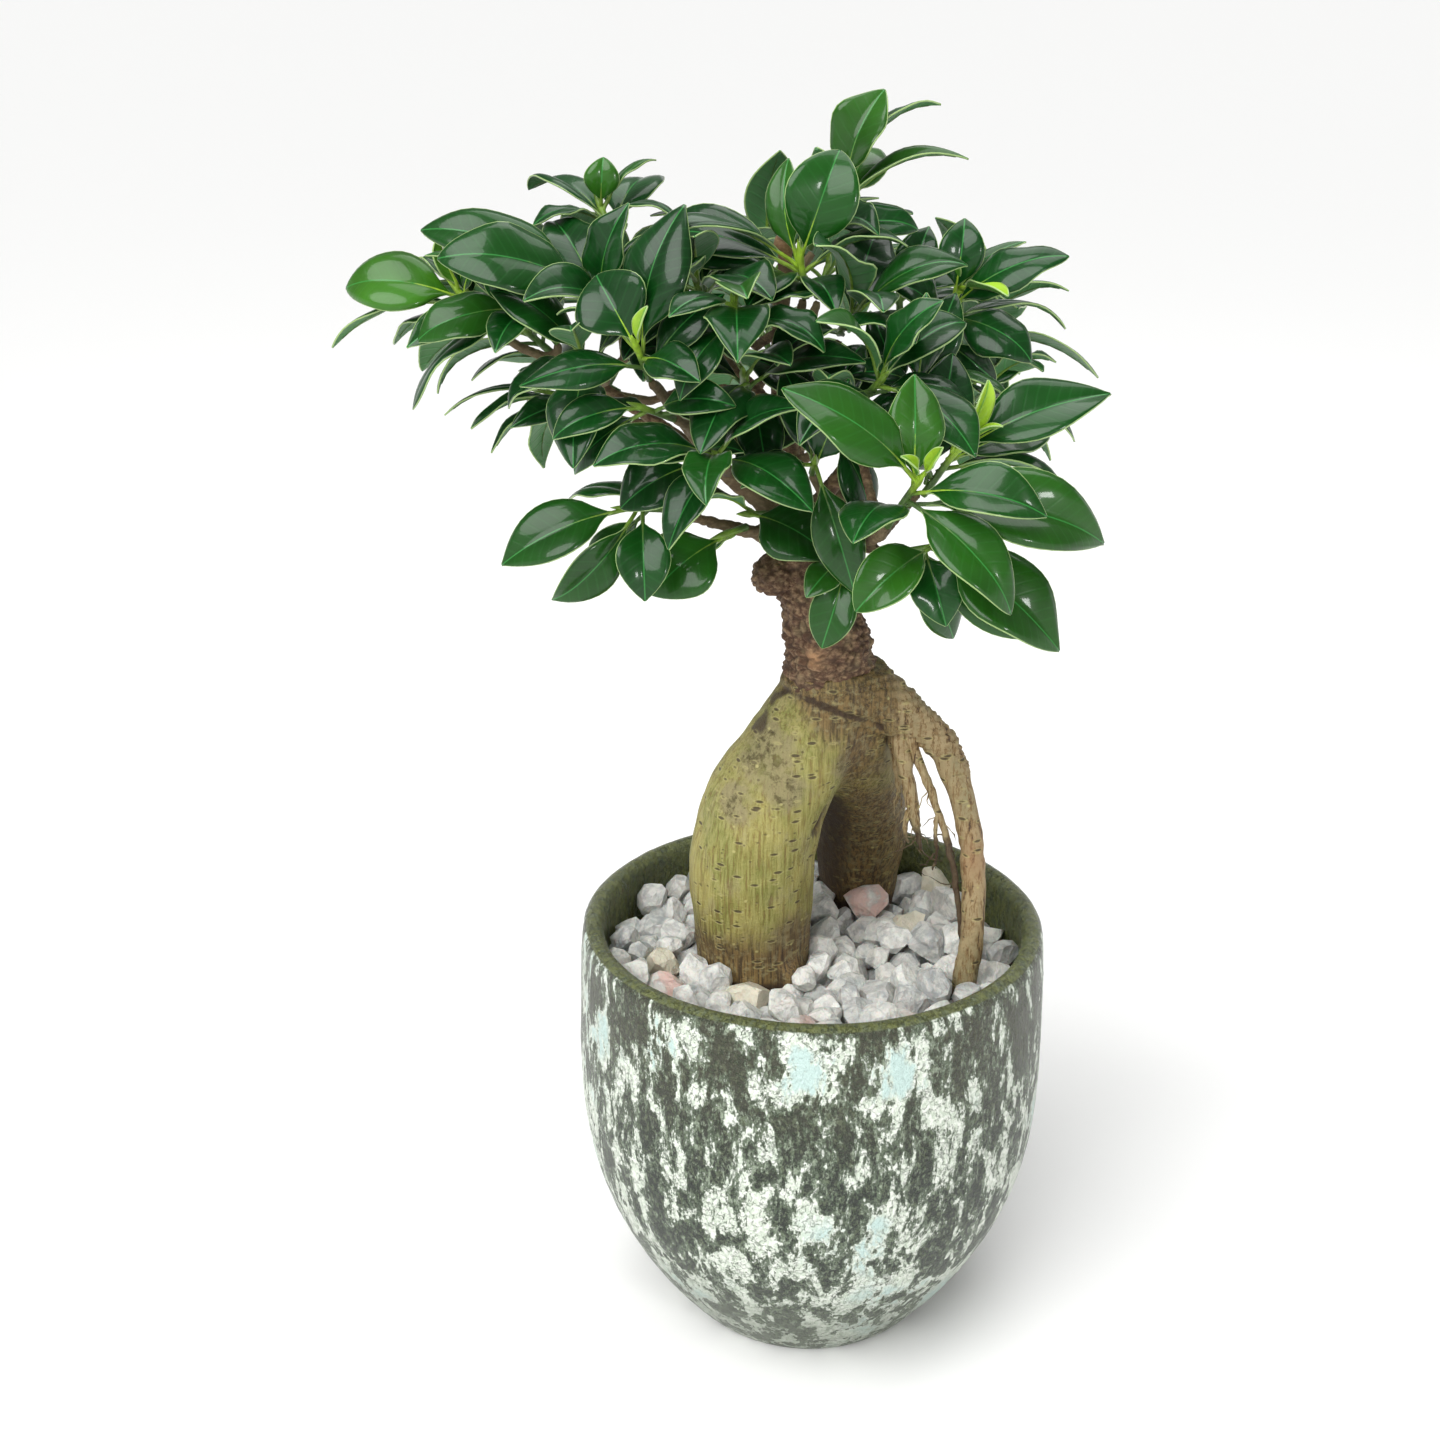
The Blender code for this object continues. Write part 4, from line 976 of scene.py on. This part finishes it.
def lay_stones(settings):
    """All the chips as one mesh, each with its own tint."""
    random = np.random.default_rng(SEED + 1)
    roots = BVHTree.FromBMesh(merged("rootstock"))
    radii = random.uniform(settings.small, settings.large, settings.stones)
    places = settle(radii, random, GRAVEL_HIGH.x - 0.0002, roots)
    shapes = [stone_shape(random) for _ in range(STONE_SHAPES)]
    bm = bmesh.new()
    tint = bm.verts.layers.float.new("tint")
    rosy = bm.verts.layers.float.new("rosy")
    for i, (place, radius) in enumerate(zip(places, radii)):
        place = Vector(place)
        if place.z + radius > HIGHEST_STONE:
            continue
        start = len(bm.verts)
        bm.from_mesh(shapes[i % STONE_SHAPES])
        bm.verts.ensure_lookup_table()
        turn = Matrix.Rotation(random.normal() * STONE_TILT, 4, "X")
        turn = turn @ Matrix.Rotation(random.normal() * STONE_TILT, 4, "Y")
        turn = turn @ Matrix.Rotation(random.uniform(0, 2 * math.pi), 4, "Z")
        pose = Matrix.Translation(place) @ turn @ Matrix.Scale(radius * STONE_SPREAD, 4)
        shade = random.uniform()
        pink = 1.0 if any((place - Vector(spot)).length < radius * 1.1 for spot in PINK_SPOTS) else 0.0
        if pink == 0 and random.uniform() < CREAM_SHARE:
            pink = -1.0
        for vert in bm.verts[start:]:
            vert.co = pose @ vert.co
            vert[tint] = shade
            vert[rosy] = pink
    for shape in shapes:
        bpy.data.meshes.remove(shape)
    return bm


def marble(settings):
    """Crushed white marble: a dull, sugary break with soft grey veins, and the odd pink or cream chip."""
    material, tree, place = new_material("crushed_marble")
    tint, rosy = [add_node(tree, "Attribute", attribute_name=name, output="Fac") for name in ("tint", "rosy")]
    shifted = add_node(tree, "VectorMath", place, tint, operation="ADD")
    vein, cloud = noises(tree, shifted, (1, 70.0, 4.0, 0.55, 2.0, 0.8), (1, 240.0, 5.0, 0.7))
    (sugar,) = noises(tree, place, (1, 900.0, 4.0, 0.65))
    band = add_node(tree, "Math", vein, 0.5, operation="SUBTRACT")
    band = add_node(tree, "Math", band, operation="ABSOLUTE")
    veined = add_node(tree, "MapRange", band, 0.05, 0.0, **SMOOTH)
    cloudy = add_node(tree, "MapRange", cloud, 0.42, 0.6, **SMOOTH)
    greyer = add_node(tree, "MapRange", tint, 0.4, 1.0, **SMOOTH)
    greyness = weighted(tree, 0.0, (veined, 0.35), (cloudy, 0.4), (greyer, 0.5))
    blush = add_node(tree, "Math", rosy, vein, operation="MULTIPLY")
    base = coats(
        tree, settings.marble, (settings.grey_marble, 1.0, greyness),
        (settings.pink_marble, 0.9, blush, 0.40, 0.56), (settings.cream_marble, 0.6, rosy, -0.2, -0.8),
    )
    facets = add_node(tree, "TexVoronoi", place, 420.0)
    height = weighted(tree, sugar, (facets, 0.6))
    finish = {"Roughness": 0.6, "Subsurface Weight": 0.15, "Subsurface Scale": 0.002}
    dress(tree, base, (height, 0.9, 0.0009), finish)
    return material


def potting_soil(settings):
    """Damp potting soil: dark crumbs of peat and bark that the chips lie on."""
    material, tree, place = new_material("potting_soil")
    (crumbs,) = noises(tree, place, (1, 420.0, 6.0, 0.7))
    # The crumbs' noise also makes the bump, so the low places between crumbs get painted shade.
    base = coats(tree, settings.soil_gap_shade, (settings.soil, 1.0, crumbs))
    dress(tree, base, (crumbs, 0.9, 0.002), {"Roughness": 0.9})
    return material


class BONSAI_OT_fill(bpy.types.Operator):
    """Fill the pot with soil and lay the marble chips on it"""

    bl_idname = "bonsai.fill"
    bl_label = "Soil and Marble Chips"

    def execute(self, context):
        settings = context.scene.bonsai_fill
        ground = even_skin("soil", merged("potting_soil"), 0.0026, 2)
        for vert in ground.verts:
            if vert.normal.z > 0.5 and vert.co.z > 0.09:
                vert.co.z += 0.0012 * noise.fractal(vert.co * 160, 0.6, 2.0, 3)
        soil = mesh_object("damp_soil", ground, [potting_soil(settings)])
        finish_piece(soil, "potting_soil", "potting_soil")
        chips = mesh_object("marble_chips", lay_stones(settings), [marble(settings)], smooth=False)
        finish_piece(chips, "marble_chips", "gravel_bed")
        return {"FINISHED"}


# Roots and grafted wood


def line_distance(place, points):
    """The distance from a place to a line through points given in millimetres, and the share along it."""
    best = (1.0, 0.0)
    for i, (a, b) in enumerate(zip(points, points[1:])):
        start, end = Vector(a) * MM, Vector(b) * MM
        span = end - start
        share = min(max((place - start).dot(span) / span.length_squared, 0), 1)
        best = min(best, ((place - start - span * share).length, (i + share) / (len(points) - 1)))
    return best


def nearest(place, spots):
    """The strongest bell of the spots, each a centre and a radius in millimetres."""
    return max(bell((place - Vector(centre) * MM).length, radius * MM) for centre, radius in spots)


def sculpt_root(place):
    """The root skin's rise at a place in metres, and how much it belongs to each of the bark's regions."""
    rough = noise.noise
    prop = ramp(place.x, 0.019, 0.026) * ramp(place.y, 0.010, 0.003)
    crease_height = FOLD_TOP - FOLD_SLOPE * (place.x + 0.012)
    neck = ramp(place.z, crease_height - 0.001, crease_height + 0.003)
    neck_brown = ramp(place.z + 0.008 * rough(place * 80), crease_height - 0.020, crease_height + 0.004)
    fold, _ = line_distance(place, NECK_FOLD)
    lobe, along = line_distance(place, LOBE_CREASE)
    foot, down = line_distance(place, FOOT_CREASE)
    warp = noise.noise_vector(place * 60) * 0.004
    fibres = rough(Vector((place.x * 430, place.y * 430, place.z * 30)) + warp * 500)
    rings = math.sin(2 * math.pi * (place.z + warp.z) / RING_SPACING)
    rise = 0.00070 * rough(place * 52) + 0.00030 * rough(place * 140) + (0.00015 - 0.00005 * prop) * fibres
    rise += neck * (0.0008 + 0.00028 * rings + 0.00045 * noise.fractal(place * 330, 0.7, 2.0, 3))
    rise -= 0.0013 * bell(fold, 0.0009) + 0.0013 * bell(lobe, 0.0022) * (1 - 0.6 * along)
    rise -= 0.0010 * bell(foot, 0.0012) * (1 - down)
    for centre, radius, height in WARTS:
        rise += height * MM * bell((place - Vector(centre) * MM).length, radius * MM)
    rise += prop * 0.00030 * rough(Vector((place.x * 90, place.y * 90, place.z * 320)) + warp * 300)
    low = ramp(place.z, TREE_GROUND + 0.029 + 0.014 * rough(place * 70), TREE_GROUND + 0.005)
    back = ramp(place.y + 0.006 * rough(place * 60), -0.001, 0.014)
    right = ramp(place.x + 0.003 * rough(place * 110), 0.003, 0.011) * (1 - prop)
    creased = 0.7 * max(bell(fold, 0.003), bell(lobe, 0.004) * (1 - along))
    brown = max(low * 1.1, right * 0.75, back * 0.85, neck_brown * 0.8, creased) + 0.25 * rough(place * 95)
    dry = nearest(place, DRY_PATCHES) * (1.1 + 0.8 * rough(place * 160))
    arch = ramp(place.x, 0.019, 0.007) * ramp(place.y, 0.003, 0.012) * ramp(place.z, 0.182, 0.166)
    # Painted shade: dark in the neck fold and the creases, under the arch between the legs, at the shade
    # spots and where the roots meet the chips.
    darkening = max(
        nearest(place, SHADE_SPOTS) * (0.8 + 0.9 * rough(place * 240)),
        1.2 * bell(fold, 0.0011) * (0.8 + 0.5 * rough(place * 120)),
        0.6 * arch,
        0.8 * bell(lobe, 0.0016) * (1 - along),
        0.9 * bell(foot, 0.0012) * (1 - down),
        0.75 * ramp(place.z, TREE_GROUND + 0.004, TREE_GROUND - 0.001),
    )
    return rise, (min(max(brown, 0), 1), prop, min(dry, 1), min(darkening, 1), nearest(place, SCARS))


def sculpt_wood(place, stems):
    """The grafted wood's rise: deep flaking bark on the trunk, finer on the limbs, smooth by the shoots."""
    youth = bell(max(min((place - stem).length for stem in stems) - 0.004, 0), 0.010)
    age = ramp(place.z, 0.275, 0.235) * 0.75 + 0.25 * (1 - youth)
    warp = noise.noise_vector(place * 90) * 0.0022
    cells = noise.voronoi((Vector((place.x, place.y, place.z * 1.5)) + warp) * 290)[0]
    crack = min(cells[1] - cells[0], 0.35) / 0.35
    rings = math.sin(2 * math.pi * (place.z + 2 * warp.z) / TRUNK_RING_SPACING)
    rise = age * (0.00085 * crack - 0.0002 + 0.0015 * noise.noise(place * 130))
    rise += 0.00030 * age * rings * ramp(place.z, 0.250, 0.225)
    rise += 0.00034 * noise.fractal(place * 420, 0.8, 2.0, 3) * (0.35 + 0.65 * age)
    swirl = (place - Vector(SWIRL) * MM).length
    rise += 0.0006 * math.cos(2 * math.pi * swirl / SWIRL_SPACING) * bell(swirl, 0.0046)
    darkening = min(max(1 - crack * 1.8 + 0.3 * noise.noise(place * 200), 0), 1) * age
    return rise, (age, crack, youth, darkening, nearest(place, SCARS))


def carve(bm, sculpt):
    """Move every vertex out along its normal by what the sculpting function gives, and keep its regions."""
    layers = [bm.verts.layers.float.new(name) for name in BARK_REGIONS]
    moves = []
    for vert in bm.verts:
        rise, regions = sculpt(vert.co)
        moves.append((vert, vert.normal * rise))
        for layer, region in zip(layers, regions):
            vert[layer] = region
    for vert, move in moves:
        vert.co += move
    return bm


def dashes(tree, place, size, squash, share, inner, outer):
    """Short level marks scattered over a skin: 1 on a mark. Size is their spacing in metres."""
    drawn = add_node(tree, "VectorMath", place, (1, 1, squash), operation="MULTIPLY")
    distance = add_node(tree, "TexVoronoi", drawn, 1 / size)
    chance = add_node(tree, "SeparateColor", distance.node.outputs["Color"])
    mark = add_node(tree, "MapRange", distance, outer, inner, **SMOOTH)
    chosen = add_node(tree, "MapRange", chance, 1 - share, 1 - share + 0.05, **SMOOTH)
    return add_node(tree, "Math", mark, chosen, operation="MULTIPLY")


def root_bark(settings):
    """Swollen ficus root: thin olive skin, green in the light, and brown bark low, behind and on the neck,
    with painted shade in its creases.
    """
    material, tree, place = new_material("swollen_root_skin")
    brown, prop, dry, darkening, worn = [
        add_node(tree, "Attribute", attribute_name=name, output="Fac") for name in BARK_REGIONS
    ]
    fibre, patch, grain, crust, scuff, cracked = noises(
        tree, place, (0.05, 1150.0, 5.0, 0.7), (0.5, 85.0, 4.0, 0.6), (1, 1300.0, 3.0, 0.6),
        (1, 420.0, 5.0, 0.7), (0.6, 160.0, 6.0, 0.7), (0.14, 700.0, 5.0, 0.75),
    )
    lips = dashes(tree, place, 0.0054, 3.0, 0.44, 0.27, 0.42)
    pores = dashes(tree, place, 0.0054, 3.0, 0.44, 0.15, 0.30)
    specks = dashes(tree, place, 0.0021, 1.5, 0.22, 0.12, 0.3)
    dots = dashes(tree, place, 0.0034, 1.2, 0.16, 0.08, 0.22)
    specks = add_node(tree, "Math", specks, 0.6, operation="MULTIPLY")
    marks = add_node(tree, "Math", pores, specks, operation="MAXIMUM")
    scab = coats(tree, settings.dark_bark_and_shade, (settings.skin_dry, 1.0, crust, 0.38, 0.54))
    bark = coats(
        tree, settings.dark_bark_and_shade, (settings.brown, 1.0, fibre, 0.40, 0.60),
        (settings.skin_dry, 0.6, crust, 0.5, 0.62),
    )
    woody = coats(
        tree, settings.prop, (settings.skin_dry, 1.0, patch, 0.4, 0.65),
        (settings.brown, 0.85, cracked, 0.52, 0.43), (settings.dark_bark_and_shade, 1.0, cracked, 0.42, 0.36),
        (settings.brown, 0.45, crust, 0.52, 0.66), (settings.prop_warm, 0.45, worn),
    )
    dried = weighted(tree, -0.7, (dry, 1.0), (crust, 0.9), (patch, 1.4))
    browned = weighted(tree, brown, (crust, 0.5))
    # On the swollen roots this is painted shade; on the rootlets it darkens their lower parts.
    darkened = weighted(tree, darkening, (crust, 0.8))
    base = coats(
        tree, settings.skin_green, (settings.skin, 1.0, patch, 0.38, 0.62),
        (settings.skin_dry, 0.5, scuff, 0.52, 0.64), (settings.skin_pale, 0.42, fibre, 0.40, 0.60),
        (settings.brown, 0.6, fibre, 0.48, 0.38), (scab, 0.75, dried, 0.55, 1.15),
        (bark, 0.9, browned, 0.45, 1.1), (woody, 1.0, prop), (settings.skin_pale, 0.42, lips),
        (settings.dark_bark_and_shade, 0.85, marks), (settings.skin_pale, 0.7, dots),
        (settings.dark_bark_and_shade, 0.85, darkened, 0.62, 1.05),
    )
    height = weighted(tree, 0.0, (fibre, 0.8), (grain, 0.5), (marks, -0.5))
    dress(tree, base, (height, 0.9, 0.0009), {"Roughness": 0.62})
    return material


def trunk_bark(settings):
    """Old ficus bark: dark cracks between small pale flakes; the youngest twigs are smooth and greenish."""
    material, tree, place = new_material("flaking_trunk_bark")
    _, _, twig, crack, cut = [
        add_node(tree, "Attribute", attribute_name=name, output="Fac") for name in BARK_REGIONS
    ]
    grain, patch = noises(tree, place, (1.6, 430.0, 6.0, 0.68), (1, 150.0, 4.0, 0.6))
    base = coats(
        tree, settings.bark, (settings.bark_pale, 1.0, grain, 0.42, 0.66),
        (settings.skin_dry, 0.5, patch, 0.5, 0.72), (settings.dark_bark_and_shade, 0.6, patch, 0.48, 0.3),
        (settings.twig, 0.8, twig), (settings.cut, 0.75, cut), (settings.dark_bark_and_shade, 0.85, crack),
    )
    dress(tree, base, (grain, 0.7, 0.0009), {"Roughness": 0.78})
    return material


def curl(start, random, steps, stride, radius):
    """A fine root hair that wanders downwards."""
    place = Vector(start) * MM
    heading = Vector((random.uniform(-1, 1), random.uniform(-1, 1), -0.8)).normalized()
    route = []
    for step in range(steps):
        route.append((place.copy(), radius * (1 - 0.7 * step / steps)))
        heading = (heading + Vector(random.uniform(-0.7, 0.7, 3)) + Vector((0, 0, -0.12))).normalized()
        place += heading * stride
    return route


def smooth_route(stations, steps, random, wander):
    """Catmull-Rom points and radii through stations, with a slight wander."""
    points = [Vector((*(value * MM for value in point), radius * MM)) for point, radius in stations]
    ends = [2 * points[0] - points[1], *points, 2 * points[-1] - points[-2]]
    route = []
    for a, b, c, d in zip(ends, ends[1:], ends[2:], ends[3:]):
        for step in range(steps):
            t = step / steps
            point = 2 * b + (c - a) * t + (2 * a - 5 * b + 4 * c - d) * t**2
            point = 0.5 * (point + (3 * b - a - 3 * c + d) * t**3)
            stray = Vector(random.uniform(-wander, wander, 3))
            route.append((point.to_3d() + stray, point.w * random.uniform(0.88, 1.12)))
    route.append((points[-1].to_3d(), points[-1].w))
    return route


def hang_rootlets():
    """The bundle of thin hanging roots under the prop root, with their hairs."""
    random = np.random.default_rng(SEED + 2)
    routes = [smooth_route(stations, 6, random, 0.00028) for stations in ROOTLETS]
    for start in HAIR_STARTS:
        for _ in range(HAIRS_EACH):
            routes.append(curl(start, random, 9, random.uniform(0.0009, 0.0017), HAIR_RADIUS))
    bm = draw_tubes("rootlets", routes, 8)
    layers = {name: bm.verts.layers.float.new(name) for name in BARK_REGIONS}
    for vert in bm.verts:
        dark = 0.75 * ramp(vert.co.z, 0.176, 0.155) + 0.3 * noise.noise(vert.co * 300)
        vert[layers["prop"]] = 1.0
        vert[layers["darkening"]] = min(max(dark, 0), 1)
        vert.co += vert.normal * 0.0002 * noise.noise(vert.co * 700)
    return bm


def with_stub(rough):
    """The grafted wood run on downwards, a little narrower, so that its skin ends inside the neck."""
    low = min(vert.co.z for vert in rough.verts)
    sole = [face for face in rough.faces if all(vert.co.z < low + 1e-4 for vert in face.verts)]
    dropped = bmesh.ops.extrude_face_region(rough, geom=sole)
    stub = [item for item in dropped["geom"] if isinstance(item, bmesh.types.BMVert)]
    bmesh.ops.delete(rough, geom=sole, context="FACES")
    middle = sum((vert.co for vert in stub), Vector()) / len(stub)
    bmesh.ops.scale(rough, vec=(0.9, 0.9, 1), space=Matrix.Translation(-middle), verts=stub)
    bmesh.ops.translate(rough, vec=(0, 0, -SCION_STUB), verts=stub)
    return rough


class BONSAI_OT_wood(bpy.types.Operator):
    """Grow the swollen roots, the hanging rootlets and the grafted trunk with its limbs"""

    bl_idname = "bonsai.wood"
    bl_label = "Roots, Trunk and Limbs"

    def execute(self, context):
        settings = context.scene.bonsai_wood
        skin = root_bark(settings)
        roots = carve(even_skin("roots", merged("rootstock"), settings.root_voxel, 9), sculpt_root)
        finish_piece(mesh_object("swollen_roots", roots, [skin]), "ficus_root_bark", "rootstock")
        finish_piece(mesh_object("rootlets", hang_rootlets(), [skin]), "ficus_root_bark")
        stems = [read_stem(merged(name))[0] for name in SHOOTS]
        wood = even_skin("wood", with_stub(merged("scion_wood")), settings.wood_voxel, 3)
        carve(wood, lambda place: sculpt_wood(place, stems))
        finish_piece(mesh_object("trunk_and_limbs", wood, [trunk_bark(settings)]), "scion_bark", "scion_wood")
        return {"FINISHED"}


# Stage


def add_light(kind, name, way, energy, place=(0, 0, 0), **values):
    """A light that shines a given way."""
    light = bpy.data.lights.new(name, kind)
    light.energy = energy
    for field, value in values.items():
        setattr(light, field, value)
    lamp = bpy.data.objects.new(name, light)
    lamp.location = place
    lamp.rotation_euler = way.to_track_quat("-Z", "Y").to_euler()
    bpy.context.scene.collection.objects.link(lamp)


def surround(settings):
    """A world that is white near the floor and dimmer above."""
    world = bpy.data.worlds.new("studio_surround")
    world.use_nodes = True
    tree = world.node_tree
    background = tree.nodes["Background"]
    background.inputs["Color"].default_value = (1, 1, 1, 1)
    height = add_node(tree, "SeparateXYZ", add_node(tree, "TexCoord", output="Generated"), output="Z")
    glow = add_node(tree, "MapRange", height, GLOW_LOW, GLOW_HIGH, settings.horizon, settings.world, **SMOOTH)
    plug(tree, background.inputs["Strength"], glow)
    return world


class BONSAI_OT_stage(bpy.types.Operator):
    """Set the pale floor, the soft studio light and the camera"""

    bl_idname = "bonsai.stage"
    bl_label = "Studio"

    def execute(self, context):
        settings = context.scene.bonsai_stage
        material, tree, _ = new_material("studio_paper")
        dress(tree, settings.floor, None, {"Roughness": 0.9})
        bm = bmesh.new()
        bmesh.ops.create_grid(bm, x_segments=2, y_segments=2, size=FLOOR_REACH)
        floor = mesh_object("studio_floor", bm, [material], smooth=False)
        context.scene.world = surround(settings)
        middle = (CAD_LOW + CAD_HIGH) / 2
        add_light("SUN", "key_light", KEY_WAY, settings.key, angle=math.radians(KEY_ANGLE))
        add_light("AREA", "top_light", middle - Vector(TOP_PLACE), settings.top, TOP_PLACE, size=TOP_SIZE)
        side = middle - Vector(SIDE_PLACE)
        add_light("AREA", "side_light", side, settings.fill, SIDE_PLACE, size=SIDE_SIZE)
        context.scene.view_settings.view_transform = "Standard"
        camera = bpy.data.objects.new("camera", bpy.data.cameras.new("camera"))
        camera.data.lens = CAMERA_LENS
        camera.location = CAMERA_PLACE
        camera.rotation_euler = (math.radians(CAMERA_TILT), 0, 0)
        context.scene.collection.objects.link(camera)
        context.scene.camera = camera
        return {"FINISHED"}


class BONSAI_PT_parts(bpy.types.Panel):
    """The bonsai's pieces and their settings"""

    bl_label = "Potted Ficus Bonsai"
    bl_idname = "BONSAI_PT_parts"
    bl_space_type = "VIEW_3D"
    bl_region_type = "UI"
    bl_category = "Bonsai"

    def draw(self, context):
        for operator in OPERATORS:
            self.layout.operator(operator.bl_idname)
        for group in SETTINGS:
            box = self.layout.box()
            for field in SETTINGS[group].__annotations__:
                box.prop(getattr(context.scene, group), field)


SETTINGS = {
    "bonsai_pot": PotSettings, "bonsai_fill": FillSettings, "bonsai_wood": WoodSettings,
    "bonsai_leaves": LeafSettings, "bonsai_stage": StageSettings,
}
OPERATORS = (BONSAI_OT_pot, BONSAI_OT_fill, BONSAI_OT_wood, BONSAI_OT_shoots, BONSAI_OT_stage)


def register():
    for cls in (*SETTINGS.values(), *OPERATORS, BONSAI_PT_parts):
        bpy.utils.register_class(cls)
    for name, cls in SETTINGS.items():
        setattr(bpy.types.Scene, name, PointerProperty(type=cls))


def unregister():
    for name in SETTINGS:
        delattr(bpy.types.Scene, name)
    for cls in reversed((*SETTINGS.values(), *OPERATORS, BONSAI_PT_parts)):
        bpy.utils.unregister_class(cls)


def main():
    register()
    bpy.ops.bonsai.pot()
    bpy.ops.bonsai.fill()
    bpy.ops.bonsai.wood()
    bpy.ops.bonsai.shoots()
    bpy.ops.bonsai.stage()


if __name__ == "__main__":
    main()
